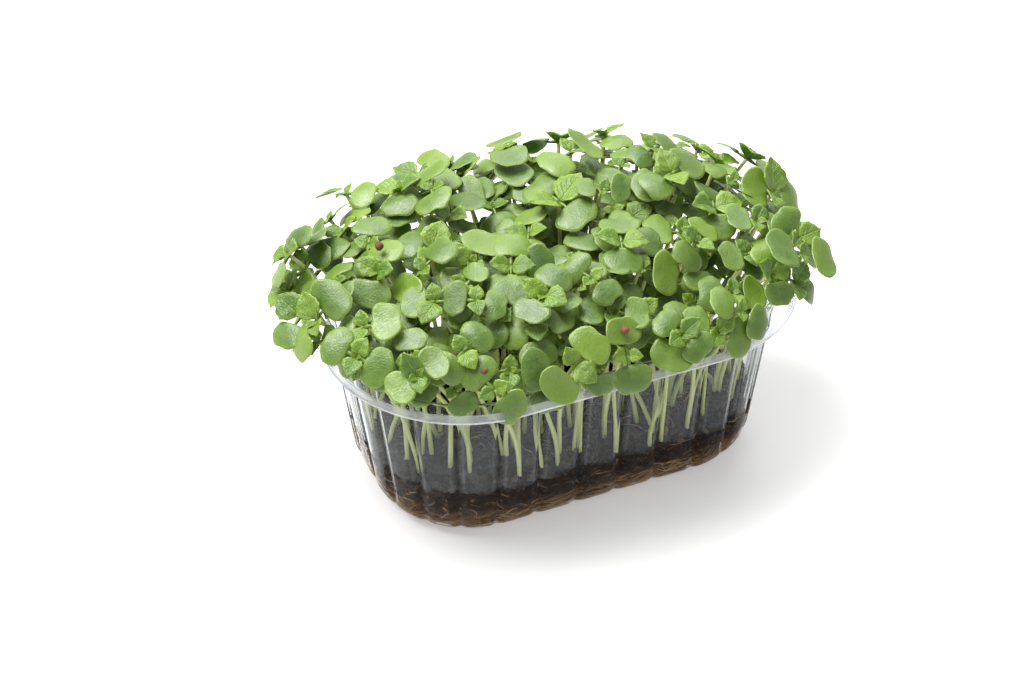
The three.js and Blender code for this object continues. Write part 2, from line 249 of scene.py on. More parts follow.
class Effects:
    """Shared masks, each a node group made once."""

    @staticmethod
    def _group(name: str, sockets: dict[str, str]) -> tuple[Graph, bpy.types.Node, bpy.types.NodeTree]:
        """Starts a group with one output.

        Args:
            name: group name.
            sockets: input name to socket type.

        Returns:
            Its graph, its input node and the group.
        """
        group = bpy.data.node_groups.new(name, "ShaderNodeTree")
        for socket, kind in sockets.items():
            group.interface.new_socket(socket, in_out="INPUT", socket_type=kind)
        group.interface.new_socket("Mask", in_out="OUTPUT", socket_type="NodeSocketFloat")
        graph = Graph(group)
        return graph, graph.node("NodeGroupInput"), group

    @classmethod
    def mottle(cls) -> bpy.types.NodeTree:
        """Makes soft patches with a fine grain in them.

        Returns:
            The node group.
        """
        found = bpy.data.node_groups.get("mottle")
        if found:
            return found
        sockets = {"Place": "NodeSocketVector", "Patch": "NodeSocketFloat", "Grain": "NodeSocketFloat"}
        graph, given, group = cls._group("mottle", sockets)
        place = given.outputs["Place"]
        patch = graph.noise(place, given.outputs["Patch"])
        grain = graph.noise(place, given.outputs["Grain"], 2)
        both = graph.calc("MULTIPLY_ADD", grain, 0.45, graph.times(patch, 0.55))
        mask = graph.ramp(both, 0.3, 0.7)
        graph.node("NodeGroupOutput", {"Mask": mask})
        return group

    @classmethod
    def veins(cls) -> bpy.types.NodeTree:
        """Makes a midrib and pairs of side veins from a leaf's own coordinates.

        Returns:
            The node group.
        """
        found = bpy.data.node_groups.get("veins")
        if found:
            return found
        sockets = {"Leaf": "NodeSocketVector", "Pairs": "NodeSocketFloat", "Slant": "NodeSocketFloat"}
        graph, given, group = cls._group("veins", sockets)
        parts = graph.node("SeparateXYZ", {0: given.outputs["Leaf"]})
        across = graph.calc("ABSOLUTE", parts.outputs["Y"])
        slant = graph.times(across, given.outputs["Slant"])
        line = graph.calc("SUBTRACT", parts.outputs["X"], slant)
        spaced = graph.times(graph.calc("ADD", line, 4.0), given.outputs["Pairs"])
        phase = graph.calc("FRACT", spaced)
        near = graph.calc("ABSOLUTE", graph.calc("SUBTRACT", phase, 0.5))
        side = graph.ramp(near, 0.1, 0.015)
        faded = graph.times(side, graph.ramp(across, 0.95, 0.3, 0, 0.75))
        midrib = graph.ramp(across, 0.1, 0.03)
        graph.node("NodeGroupOutput", {"Mask": graph.calc("MAXIMUM", midrib, faded)})
        return group


class Finish:
    """Base of every finish: a principled material whose inputs come from looks()."""

    name: str

    def looks(self, graph: Graph) -> dict:
        """Gives the inputs of the shader.

        Args:
            graph: graph of the material.

        Returns:
            Values or sockets by name.
        """
        raise NotImplementedError

    def make(self) -> bpy.types.Material:
        """Writes the material.

        Returns:
            The material.
        """
        material = bpy.data.materials.new(self.name)
        material.use_nodes = True
        graph = Graph(material.node_tree)
        graph.fill(material.node_tree.nodes["Principled BSDF"], self.looks(graph))
        return material

    @staticmethod
    def relief(graph: Graph, height: Socket, depth: float, strength: float = 1.0) -> Socket:
        """Adds a bump.

        Args:
            graph: graph of the material.
            height: height mask.
            depth: depth of the full mask in metres.
            strength: strength of the effect.

        Returns:
            The bumped normal.
        """
        inputs = {"Height": height, "Distance": depth, "Strength": strength}
        return graph.node("Bump", inputs).outputs[0]


@dataclass(frozen=True)
class LeafFinish(Finish):
    """Waxy leaf with a paler margin, veins and a lighter underside."""

    name: str
    deep: Colour
    bright: Colour
    bloom: Colour
    vein: Colour
    margin: Colour
    under: Colour
    pairs: float
    slant: float
    vein_share: float
    vein_depth: float
    grain: float = 1.0
    crease: float = 1.0

    def looks(self, graph: Graph) -> dict:
        """Gives the inputs of the shader.

        Args:
            graph: graph of the material.

        Returns:
            Values or sockets by name.
        """
        inputs = {0: graph.node("UVMap", uv_map="leaf").outputs[0], 1: (2, 2, 0), 2: (-1, -1, 0)}
        leaf = graph.node("VectorMath", inputs, operation="MULTIPLY_ADD").outputs[0]
        reach = graph.node("VectorMath", {0: leaf}, operation="LENGTH").outputs["Value"]
        veins = graph.effect(Effects.veins(), {"Leaf": leaf, "Pairs": self.pairs, "Slant": self.slant})
        mottle = graph.effect(Effects.mottle(), {"Place": graph.place(), "Patch": 260, "Grain": 1700})
        under = graph.attribute("under")
        # The tone attribute is random, but on the seed leaves of the lower fill seedlings its ceiling
        # is lower: painted shade on the lower layer.
        body = graph.blend(graph.attribute("tone"), self.deep, self.bright)
        grain = graph.noise(graph.place(), 2600, 2)
        body = graph.blend(graph.times(mottle, 0.25), body, self.bloom)
        body = graph.blend(graph.ramp(reach, 0.4, 0.95, 0.0, 0.25), body, self.bloom)
        body = graph.blend(graph.ramp(grain, 0.5, 0.7, 0, 0.3), body, self.deep)
        body = graph.blend(graph.times(veins, self.vein_share), body, self.vein)
        body = graph.blend(graph.ramp(reach, 0.95, 1.0, 0, 0.6), body, self.margin)
        body = graph.blend(graph.times(under, 0.75), body, self.under)
        rough = graph.times(grain, self.grain)
        height = graph.calc("MULTIPLY_ADD", veins, -self.crease, rough)
        return {
            "Base Color": body, "Roughness": graph.ramp(mottle, 0, 1, 0.36, 0.52),
            "Normal": self.relief(graph, height, self.vein_depth, 0.7),
            "Subsurface Weight": 0.22, "Subsurface Scale": 0.0008,
            "Subsurface Radius": (0.7, 1.0, 0.2), "Specular IOR Level": 0.75}


@dataclass(frozen=True)
class StemFinish(Finish):
    """Juicy pale stem with faint long streaks."""

    name: str = "pale_stem"
    pale: Colour = srgb(222, 226, 158)
    green: Colour = srgb(160, 186, 84)
    streak: Colour = srgb(222, 228, 184)

    def looks(self, graph: Graph) -> dict:
        """Gives the inputs of the shader.

        Args:
            graph: graph of the material.

        Returns:
            Values or sockets by name.
        """
        long = graph.stretch(graph.place(), 0.08)
        streak = graph.noise(long, 2200, 2)
        body = graph.blend(graph.attribute("tone"), self.pale, self.green)
        body = graph.blend(graph.ramp(streak, 0.5, 0.75, 0, 0.6), body, self.streak)
        return {
            "Base Color": body, "Roughness": graph.ramp(streak, 0.3, 0.7, 0.32, 0.45),
            "Normal": self.relief(graph, streak, 0.0001, 0.4),
            "Subsurface Weight": 0.35, "Subsurface Scale": 0.0012,
            "Subsurface Radius": (0.9, 1.0, 0.4)}


@dataclass(frozen=True)
class ClearPlastic(Finish):
    """Thin clear thermoformed film with a little haze and condensation."""

    name: str = "clear_film"
    tint: Colour = srgb(244, 247, 248)
    haze: Colour = srgb(205, 209, 210)
    passed: Colour = (0.9, 0.9, 0.9, 1)
    bend: float = 1.1
    clear: float = 0.995

    def looks(self, graph: Graph) -> dict:
        """Gives the inputs of the shader.

        Args:
            graph: graph of the material.

        Returns:
            Values or sockets by name.
        """
        place = graph.place()
        height = graph.node("SeparateXYZ", {0: place}).outputs["Z"]
        fog = graph.effect(Effects.mottle(), {"Place": place, "Patch": 90, "Grain": 900})
        low = graph.ramp(height, 0.03, 0.008)
        damp = graph.times(fog, low)
        streak = graph.noise(graph.stretch(place, 0.06), 500)
        rough = graph.calc("MULTIPLY_ADD", damp, 0.02, graph.ramp(streak, 0.4, 0.7, 0.01, 0.03))
        return {
            "Base Color": graph.blend(graph.times(damp, 0.4), self.tint, self.haze),
            "Roughness": rough, "Normal": self.relief(graph, streak, 0.0001, 0.12),
            "IOR": self.bend, "Transmission Weight": self.clear}

    def make(self) -> bpy.types.Material:
        """Writes the material, plainly see-through to shadows and diffuse light.

        Returns:
            The material.
        """
        material = super().make()
        graph = Graph(material.node_tree)
        nodes = material.node_tree.nodes
        plain = graph.node("BsdfTransparent", {"Color": self.passed})
        path = graph.node("LightPath").outputs
        soft = graph.calc("MAXIMUM", path["Is Shadow Ray"], path["Is Diffuse Ray"])
        inputs = {0: soft, 1: nodes["Principled BSDF"].outputs[0], 2: plain.outputs[0]}
        mixed = graph.node("MixShader", inputs)
        graph.fill(nodes["Material Output"], {"Surface": mixed.outputs[0]})
        return material


@dataclass(frozen=True)
class FrostedLip(Finish):
    """Milky edge where the film is rolled over."""

    name: str = "frosted_lip"
    white: Colour = srgb(248, 250, 252)
    grey: Colour = srgb(216, 220, 224)
    bend: float = 1.3
    clear: float = 0.82

    def looks(self, graph: Graph) -> dict:
        """Gives the inputs of the shader.

        Args:
            graph: graph of the material.

        Returns:
            Values or sockets by name.
        """
        streak = graph.noise(graph.place(), 90)
        return {
            "Base Color": graph.blend(graph.ramp(streak, 0.4, 0.65), self.white, self.grey),
            "Roughness": graph.ramp(streak, 0.3, 0.7, 0.12, 0.26),
            "IOR": self.bend, "Transmission Weight": self.clear}


@dataclass(frozen=True)
class Mist(Finish):
    """Fine condensation, thicker in patches by the bed; thinner along the grooves as painted shade,
    with a painted highlight band of thicker mist beside each groove.
    """

    name: str = "mist"
    pale: Colour = srgb(196, 200, 202)
    white: Colour = srgb(236, 238, 240)
    veil: float = 0.046
    patch: float = 0.035
    steps: int = 12

    def looks(self, graph: Graph) -> dict:
        """Gives the inputs of the shader.

        Args:
            graph: graph of the material.

        Returns:
            Values or sockets by name.
        """
        place = graph.place()
        parts = graph.node("SeparateXYZ", {0: place})
        share = graph.calc("FRACT", graph.calc("DIVIDE", graph.attribute("station"), self.steps))
        away = graph.calc("ABSOLUTE", graph.calc("SUBTRACT", share, 0.5))
        # Along each groove the mist thins so the groove reads darker: painted shade.
        line = graph.ramp(away, 0.4, 0.48)
        # Beside each groove a band of thicker, whiter mist: a painted highlight.
        painted_flute_highlight = graph.times(graph.ramp(away, 0.3, 0.34), graph.ramp(away, 0.39, 0.35))
        clouds = graph.effect(Effects.mottle(), {"Place": place, "Patch": 200, "Grain": 2200})
        corner = graph.times(graph.ramp(parts.outputs["X"], 0.005, -0.03),
                            graph.ramp(parts.outputs["Y"], 0.005, -0.02))
        low = graph.ramp(parts.outputs["Z"], 0.03, 0.012)
        damp = graph.times(graph.times(corner, low), graph.ramp(clouds, 0.3, 0.8))
        rise = graph.ramp(graph.calc("MULTIPLY_ADD", clouds, 0.003, parts.outputs["Z"]), 0.0135, 0.0165)
        veil = graph.times(rise, graph.calc("MULTIPLY_ADD", painted_flute_highlight, 0.9, 1.0))
        painted_groove_shade = graph.calc("SUBTRACT", 1.0, graph.times(line, 0.75))
        veil = graph.times(veil, painted_groove_shade)
        thick = graph.calc("MULTIPLY_ADD", damp, self.patch, graph.times(veil, self.veil))
        return {
            "Base Color": graph.blend(clouds, self.pale, self.white), "Alpha": thick,
            "Roughness": graph.ramp(clouds, 0, 1, 0.6, 0.85)}


@dataclass(frozen=True)
class Peat(Finish):
    """Damp dark peat with brown crumbs."""

    name: str = "damp_peat"
    dark: Colour = srgb(10, 7, 5)
    brown: Colour = srgb(58, 40, 25)
    speck: Colour = srgb(140, 106, 68)
    matted: Colour = srgb(168, 122, 74)

    def looks(self, graph: Graph) -> dict:
        """Gives the inputs of the shader.

        Args:
            graph: graph of the material.

        Returns:
            Values or sockets by name.
        """
        place = graph.place()
        mottle = graph.effect(Effects.mottle(), {"Place": place, "Patch": 220, "Grain": 1100})
        crumb = graph.node("TexVoronoi", {"Vector": place, "Scale": 700.0})
        speck = graph.ramp(graph.noise(place, 1500, 1), 0.62, 0.7)
        body = graph.blend(mottle, self.dark, self.brown)
        light = graph.calc("MAXIMUM", graph.times(speck, 0.5), graph.attribute("tone"))
        body = graph.blend(light, body, self.speck)
        low = graph.ramp(graph.node("SeparateXYZ", {0: place}).outputs["Z"], 0.009, 0.002)
        mat = graph.times(low, graph.ramp(mottle, 0.1, 0.8, 0.25, 0.8))
        body = graph.blend(mat, body, self.matted)
        height = graph.calc("SUBTRACT", mottle, crumb.outputs["Distance"])
        return {
            "Base Color": body, "Roughness": graph.ramp(mottle, 0, 1, 0.7, 0.95),
            "Normal": self.relief(graph, height, 0.0014), "Specular IOR Level": 0.08}


@dataclass(frozen=True)
class Fibre(Finish):
    """Root and coir strands from dark brown to off-white."""

    name: str = "root_fibre"
    dark: Colour = srgb(66, 45, 30)
    tan: Colour = srgb(164, 128, 84)
    pale: Colour = srgb(222, 212, 190)

    def looks(self, graph: Graph) -> dict:
        """Gives the inputs of the shader.

        Args:
            graph: graph of the material.

        Returns:
            Values or sockets by name.
        """
        tone = graph.attribute("tone")
        grain = graph.noise(graph.place(), 1600, 2)
        body = graph.blend(graph.ramp(tone, 0.2, 0.6), self.dark, self.tan)
        body = graph.blend(graph.ramp(tone, 0.6, 0.95), body, self.pale)
        body = graph.blend(graph.ramp(grain, 0.5, 0.75, 0, 0.5), body, self.dark)
        return {
            "Base Color": body, "Roughness": graph.ramp(grain, 0.3, 0.7, 0.55, 0.8),
            "Normal": self.relief(graph, grain, 0.0001, 0.5), "Specular IOR Level": 0.2}


@dataclass(frozen=True)
class HullFinish(Finish):
    """Papery shed seed hull."""

    name: str = "shed_hull"
    dark: Colour = srgb(54, 28, 16)
    light: Colour = srgb(146, 90, 48)

    def looks(self, graph: Graph) -> dict:
        """Gives the inputs of the shader.

        Args:
            graph: graph of the material.

        Returns:
            Values or sockets by name.
        """
        mottle = graph.effect(Effects.mottle(), {"Place": graph.place(), "Patch": 700, "Grain": 3200})
        tone = graph.times(graph.attribute("tone"), 0.6)
        share = graph.calc("MULTIPLY_ADD", mottle, 0.5, tone)
        return {
            "Base Color": graph.blend(share, self.dark, self.light),
            "Roughness": graph.ramp(mottle, 0, 1, 0.45, 0.65),
            "Normal": self.relief(graph, mottle, 0.0002)}


@dataclass(frozen=True)
class FloorFinish(Finish):
    """Plain pale table top."""

    name: str = "pale_floor"
    pale: Colour = srgb(212, 212, 212)
    shade: Colour = srgb(206, 206, 206)
    glow: float = 0.55

    def looks(self, graph: Graph) -> dict:
        """Gives the inputs of the shader.

        Args:
            graph: graph of the material.

        Returns:
            Values or sockets by name.
        """
        cloud = graph.noise(graph.place(), 6)
        return {
            "Base Color": graph.blend(cloud, self.shade, self.pale), "Emission Strength": self.glow,
            "Emission Color": graph.blend(cloud, self.shade, self.pale),
            "Roughness": graph.ramp(cloud, 0.3, 0.7, 0.6, 0.7)}


@dataclass
class Pattern:
    """A shape that is modelled once and copied."""

    points: np.ndarray
    faces: list[tuple[int, ...]]


class Hand:
    """Modelling by operators, one object at a time."""

    @staticmethod
    def start() -> None:
        """Leaves edit mode and deselects everything."""
        if bpy.context.object and bpy.context.object.mode != "OBJECT":
            bpy.ops.object.mode_set(mode="OBJECT")
        bpy.ops.object.select_all(action="DESELECT")

    @staticmethod
    def edit() -> None:
        """Opens the active object with all of it selected."""
        bpy.ops.object.mode_set(mode="EDIT")
        bpy.ops.mesh.select_all(action="SELECT")

    @staticmethod
    def modify(kind: str, **settings) -> None:
        """Adds a modifier to the active object and applies it.

        Args:
            kind: modifier type.
            settings: its properties.
        """
        bpy.ops.object.mode_set(mode="OBJECT")
        bpy.ops.object.modifier_add(type=kind)
        modifier = bpy.context.object.modifiers[-1]
        for key, value in settings.items():
            setattr(modifier, key, value)
        bpy.ops.object.modifier_apply(modifier=modifier.name)

    @staticmethod
    def lift_pattern() -> Pattern:
        """Takes the active object away as a pattern.

        Returns:
            Its points and faces.
        """
        bpy.ops.object.mode_set(mode="OBJECT")
        mesh = bpy.context.object.data
        points = np.array([v.co for v in mesh.vertices])
        faces = [tuple(p.vertices) for p in mesh.polygons]
        bpy.ops.object.delete()
        return Pattern(points, faces)

    @classmethod
    def disc(cls, corners: int, insets: tuple[float, ...]) -> Pattern:
        """Models a round blade one unit thick, its top at 0.

        Args:
            corners: corners of its outline.
            insets: widths of its rings from the outline inward.

        Returns:
            The pattern.
        """
        cls.start()
        bpy.ops.mesh.primitive_circle_add(vertices=corners, radius=1, fill_type="NGON")
        cls.edit()
        for width in insets:
            bpy.ops.mesh.inset(thickness=width, depth=0)
        bpy.ops.mesh.poke()
        cls.modify("SOLIDIFY", thickness=1, offset=-1)
        return cls.lift_pattern()

    @classmethod
    def blade(cls, along: int, across: int) -> Pattern:
        """Models a square blade one unit thick, its top at 0.

        Args:
            along, across: faces each way.

        Returns:
            The pattern.
        """
        cls.start()
        bpy.ops.mesh.primitive_grid_add(x_subdivisions=along, y_subdivisions=across, size=2)
        cls.modify("SOLIDIFY", thickness=1, offset=-1)
        return cls.lift_pattern()

    @classmethod
    def tube(cls, sides: int, steps: int) -> Pattern:
        """Models a closed round bar of unit radius and height.

        Args:
            sides: corners of its section.
            steps: lengths it is drawn in.

        Returns:
            The pattern.
        """
        cls.start()
        bpy.ops.mesh.primitive_circle_add(vertices=sides, radius=1, fill_type="NOTHING")
        cls.edit()
        for _ in range(steps):
            bpy.ops.mesh.extrude_region_move(TRANSFORM_OT_translate={"value": (0, 0, 1 / steps)})
        bpy.ops.mesh.select_all(action="SELECT")
        bpy.ops.mesh.fill_holes(sides=0)
        bpy.ops.mesh.normals_make_consistent(inside=False)
        return cls.lift_pattern()

    @classmethod
    def crumb(cls) -> Pattern:
        """Models a rough lump of unit radius.

        Returns:
            The pattern.
        """
        cls.start()
        bpy.ops.mesh.primitive_ico_sphere_add(subdivisions=2, radius=1)
        cls.edit()
        bpy.ops.transform.vertex_random(offset=0.28, seed=3)
        return cls.lift_pattern()

    @classmethod
    def loft(cls, name: str, rings: list[np.ndarray], close_last: bool) -> bpy.types.Object:
        """Draws a skin up ring by ring from a circle.

        Args:
            name: name of the piece.
            rings: points of each ring in metres, counter-clockwise from above.
            close_last: whether the last ring is filled too.

        Returns:
            The piece, with its faces outward.
        """
        cls.start()
        bpy.ops.mesh.primitive_circle_add(vertices=len(rings[0]), radius=1, fill_type="NOTHING")
        piece = bpy.context.object
        piece.name = piece.data.name = name
        cls.edit()
        skin = bmesh.from_edit_mesh(piece.data)
        skin.verts.ensure_lookup_table()
        station = skin.verts.layers.int.new("station")
        level = skin.verts.layers.int.new("level")
        for index, vertex in enumerate(skin.verts):
            vertex[station] = index
            vertex.co = rings[0][index]
        bmesh.update_edit_mesh(piece.data)
        for number, ring in enumerate(rings[1:], 1):
            bpy.ops.mesh.extrude_region_move(TRANSFORM_OT_translate={"value": (0, 0, MM)})
            skin = bmesh.from_edit_mesh(piece.data)
            station, level = (skin.verts.layers.int[key] for key in ("station", "level"))
            for vertex in skin.verts:
                if vertex.select:
                    vertex[level] = number
                    vertex.co = ring[vertex[station]]
            bmesh.update_edit_mesh(piece.data)
        for filled in (0, len(rings) - 1)[:2 if close_last else 1]:
            bpy.ops.mesh.select_all(action="DESELECT")
            skin = bmesh.from_edit_mesh(piece.data)
            level = skin.verts.layers.int["level"]
            for vertex in skin.verts:
                vertex.select_set(vertex[level] == filled)
            skin.select_flush(True)
            bmesh.update_edit_mesh(piece.data)
            bpy.ops.mesh.edge_face_add()
        bpy.ops.mesh.select_all(action="SELECT")
        bpy.ops.mesh.normals_make_consistent(inside=False)
        faces = bmesh.from_edit_mesh(piece.data).faces
        lowest = min(faces, key=lambda face: face.calc_center_median().z)
        if lowest.normal.z > 0:
            bpy.ops.mesh.flip_normals()
        bpy.ops.object.mode_set(mode="OBJECT")
        bpy.ops.object.shade_smooth()
        return piece


class PieceMesh:
    """Collects copies of patterns into one piece."""

    def __init__(self) -> None:
        """Starts with nothing."""
        self.points: list[np.ndarray] = []
        self.faces: list[tuple[int, ...]] = []
        self.finish: list[int] = []
        self.leaf: list[np.ndarray] = []
        self.tone: list[np.ndarray] = []
        self.under: list[np.ndarray] = []
        self.count = 0

    def add(self, points: np.ndarray, pattern: Pattern, finish: int, tone: float,
            leaf: np.ndarray | None = None, under: np.ndarray | None = None) -> None:
        """Adds one copy.

        Args:
            points: its points in millimetres.
            pattern: the pattern it copies.
            finish: number of its finish.
            tone: its own tone from 0 to 1.
            leaf: leaf coordinates of each point.
            under: 1 on the underside.
        """
        size = len(points)
        self.points.append(points)
        self.faces.extend(tuple(i + self.count for i in face) for face in pattern.faces)
        self.finish.extend([finish] * len(pattern.faces))
        self.leaf.append(np.full((size, 2), 0.5) if leaf is None else leaf)
        self.tone.append(np.full(size, tone))
        self.under.append(np.zeros(size) if under is None else under)
        self.count += size

    def build(self, name: str, finishes: list[bpy.types.Material]) -> bpy.types.Object:
        """Makes the piece.

        Args:
            name: name of the piece.
            finishes: its materials in order.

        Returns:
            The piece.
        """
        mesh = bpy.data.meshes.new(name)
        mesh.from_pydata((np.vstack(self.points) * MM).tolist(), [], self.faces)
        for material in finishes:
            mesh.materials.append(material)
        mesh.polygons.foreach_set("material_index", self.finish)
        mesh.polygons.foreach_set("use_smooth", [True] * len(self.faces))
        corners = np.zeros(len(mesh.loops), dtype=np.int32)
        mesh.loops.foreach_get("vertex_index", corners)
        uv = mesh.uv_layers.new(name="leaf")
        uv.data.foreach_set("uv", np.vstack(self.leaf)[corners].astype(np.float32).ravel())
        for key, values in (("tone", self.tone), ("under", self.under)):
            attribute = mesh.attributes.new(key, "FLOAT", "POINT")
            attribute.data.foreach_set("value", np.concatenate(values).astype(np.float32))
        mesh.update()
        piece = bpy.data.objects.new(name, mesh)
        bpy.context.scene.collection.objects.link(piece)
        return piece


def settle(piece: bpy.types.Object, slot: Slot, *nodes: str) -> None:
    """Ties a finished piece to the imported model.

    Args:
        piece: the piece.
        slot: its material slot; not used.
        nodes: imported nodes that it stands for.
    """
    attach(piece, "root")
    if nodes:
        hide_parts(*nodes)
    LOG.info("%s: %d faces for %s", piece.name, len(piece.data.polygons), ", ".join(nodes) or "detail")


def along_curve(pattern: Pattern, line: np.ndarray, radius: np.ndarray) -> np.ndarray:
    """Bends a round bar along a line.

    Args:
        pattern: bar of unit radius and height.
        line: points of the line, evenly spaced.
        radius: radius at each of them.

    Returns:
        Points of the bent bar.
    """
    steps = len(line) - 1
    tangent = np.gradient(line, axis=0)
    tangent /= np.linalg.norm(tangent, axis=1)[:, None] + 1e-12
    index = np.clip(np.rint(pattern.points[:, 2] * steps).astype(int), 0, steps)
    spare = np.where(np.abs(tangent[:, 2:3]) > 0.8, [[1.0, 0, 0]], [[0, 0, 1.0]])
    first = np.cross(spare, tangent)
    first /= np.linalg.norm(first, axis=1)[:, None] + 1e-12
    second = np.cross(tangent, first)
    section = first[index] * pattern.points[:, 0:1] + second[index] * pattern.points[:, 1:2]
    return line[index] + section * radius[index][:, None]


@dataclass
class Tray:
    """Clear fluted punnet. Sizes are in millimetres."""

    rim_length: float = 107
    rim_width: float = 73.5
    rim_corner: float = 31
    height: float = 42
    flange: float = 4.6
    lip_drop: float = 2.4
    lip_wall: float = 0.75
    wall: float = 0.8
    ledge_depth: float = 3.8
    ledge_flare: float = 0.3
    draft: float = 4.3
    foot_height: float = 6.2
    foot_inset: float = 6.3
    flutes: int = 28
    flute_depth: float = 1.1
    flute_steps: int = 12
    film: float = 0.45
    lip_level: int = 26
    # Lip rows from this level down get a whiter, less clear material: a painted glint along the lip's
    # lower edge.
    painted_glint_level: int = 29
    painted_glint_clear: float = 0.35
    mist_start: float = 5.0
    mist_rings: int = 12
    mist_gap: float = 0.12
    mist_skin: float = 0.06

    def station(self, distance: float, radius: float) -> Station:
        """Walks round the plan, counter-clockwise from the right-hand end of the front corner.

        Args:
            distance: distance walked.
            radius: corner radius of the walk.

        Returns:
            Corner centre or its shift along a side as x and y, and the outward turn.
        """
        core_x = self.rim_length / 2 - self.rim_corner
        core_y = self.rim_width / 2 - self.rim_corner
        corners = [(core_x, -core_y), (core_x, core_y), (-core_x, core_y), (-core_x, -core_y)]
        left = distance
        for side in range(4):
            start, end = corners[side], corners[(side + 1) % 4]
            length = math.dist(start, end)
            if left <= length:
                share = left / length
                return (start[0] + (end[0] - start[0]) * share, start[1] + (end[1] - start[1]) * share,
                        side * math.pi / 2)
            left -= length
            if left <= math.pi / 2 * radius:
                return end[0], end[1], side * math.pi / 2 + left / radius
            left -= math.pi / 2 * radius
        return core_x, -core_y, 0.0

    def perimeter(self, radius: float) -> float:
        """Gives the length of a walk round the plan.

        Args:
            radius: corner radius of the walk.

        Returns:
            Its length.
        """
        return 2 * (self.rim_length + self.rim_width - 4 * self.rim_corner) + 2 * math.pi * radius

    def point(self, station: Station, offset: float, z: float, groove: float) -> list[float]:
        """Gives a point of the skin.

        Args:
            station: place on the plan.
            offset: distance inside the rim's outline.
            z: height.
            groove: share of the flute's depth.

        Returns:
            The point.
        """
        radius = self.rim_corner - offset - groove * self.flute_depth
        x, y, turn = station
        return [x + math.cos(turn) * radius, y + math.sin(turn) * radius, z]

    def ring(self, offset: float, z: float, flute: float) -> np.ndarray:
        """Gives a ring of the skin.

        Args:
            offset: distance inside the rim's outline.
            z: height.
            flute: share of the flutes' depth.

        Returns:
            Its points in metres.
        """
        count = self.flutes * self.flute_steps
        return np.array([self.on_skin(i / count, offset, z, flute) for i in range(count)]) * MM

    def on_skin(self, round_share: float, offset: float, z: float, flute: float) -> list[float]:
        """Gives a point of the fluted skin.

        Args:
            round_share: share of the way round.
            offset: distance inside the rim's outline.
            z: height.
            flute: share of the flutes' depth.

        Returns:
            The point.
        """
        radius = self.rim_corner - self.flange - self.draft / 2
        share = round_share * self.flutes % 1
        groove = math.exp(-((min(share, 1 - share) / 0.1) ** 2)) - 0.16 * math.sin(math.pi * share)
        station = self.station(round_share % 1 * self.perimeter(radius), radius)
        return self.point(station, offset, z, flute * groove)

    def wall_offset(self, z: float) -> float:
        """Gives the outside of the wall.

        Args:
            z: height, up to the ledge.

        Returns:
            Its distance inside the rim's outline.
        """
        foot = self.flange + self.draft
        if z < self.foot_height:
            low = 1 - max(0.0, z) / self.foot_height
            return foot + (self.foot_inset - 0.6) * (1 - math.sqrt(max(0.0, 1 - low * low)))
        rise = self.height - self.ledge_depth - self.foot_height
        return foot - self.draft * (z - self.foot_height) / rise

    @staticmethod
    def flute_share(z: float) -> float:
        """Gives the share of the flutes' depth near the base.

        Args:
            z: height.

        Returns:
            The share, 1 above the rounded edge.
        """
        return min(1, 0.3 + z / 6)

    def profile(self) -> list[tuple[float, float, float]]:
        """Lists the skin from the base to the edge of the lip.

        Returns:
            Offset, height and flute share of each ring.
        """
        top = self.height
        wall_top = top - self.ledge_depth
        foot = self.flange + self.draft
        rows = [(foot + self.foot_inset + 1.4, 0.35, 0), (foot + self.foot_inset + 0.4, 0.3, 0),
                (foot + self.foot_inset - 0.6, 0.0, 0.1)]
        for step in range(1, 8):
            turn = step / 8 * math.pi / 2
            reach = self.foot_inset - 0.6
            rows.append((foot + reach * (1 - math.sin(turn)), self.foot_height * (1 - math.cos(turn)),
                         0.1 + 0.9 * step / 8))
        for step in range(9):
            share = step / 8
            rows.append((foot - self.draft * share + self.ledge_flare * share,
                         self.foot_height + (wall_top - self.foot_height) * share, 1.0))
        rows += [(self.flange + 0.25, wall_top + 0.9, 0.6), (self.flange + 0.2, wall_top + 1.8, 0.2),
                 (self.flange - 0.05, top - 1.15, 0), (self.flange - 0.55, top - 0.72, 0),
                 (self.flange - 1.3, top - 0.58, 0), (2.2, top - 0.5, 0), (1.25, top - 0.46, 0),
                 (0.82, top - 0.62, 0), (0.6, top - 1.0, 0), (0.52, top - 1.6, 0), (0.46, top - 2.1, 0),
                 (0.3, top - self.lip_drop, 0)]
        return rows

    def build(self) -> bpy.types.Object:
        """Models and dresses the punnet.

        Returns:
            The piece.
        """
        piece = Hand.loft("clear_tray", [self.ring(*row) for row in self.profile()], False)
        Hand.modify("SOLIDIFY", thickness=self.film * MM, offset=-1)
        piece.data.materials.append(ClearPlastic().make())
        piece.data.materials.append(FrostedLip().make())
        # The lowest rows of the lip take a milkier white material, a painted glint line.
        piece.data.materials.append(FrostedLip("lip_painted_glint", clear=self.painted_glint_clear).make())
        level = piece.data.attributes["level"].data
        for face in piece.data.polygons:
            lowest = min(level[i].value for i in face.vertices)
            face.material_index = int(lowest >= self.lip_level) + int(lowest >= self.painted_glint_level)
        settle(piece, Slot.PLASTIC, "tray")
        return piece

    def mist(self) -> bpy.types.Object:
        """Models and dresses the condensation inside the wall.

        Returns:
            The piece.
        """
        heights = np.linspace(self.mist_start, self.height - self.ledge_depth, self.mist_rings)
        inside = self.film + self.mist_gap
        rings = [self.ring(self.wall_offset(z) + inside, z, 1.0) for z in heights]
        piece = Hand.loft("wall_mist", rings, False)
        Hand.start()
        piece.select_set(True)
        bpy.context.view_layer.objects.active = piece
        Hand.edit()
        skin = bmesh.from_edit_mesh(piece.data)
        for face in skin.faces:
            face.select_set(len(face.verts) > 4)
        bmesh.update_edit_mesh(piece.data)
        bpy.ops.mesh.delete(type="ONLY_FACE")
        Hand.modify("SOLIDIFY", thickness=self.mist_skin * MM, offset=-1)
        piece.data.materials.append(Mist().make())
        settle(piece, Slot.PLASTIC)
        return piece


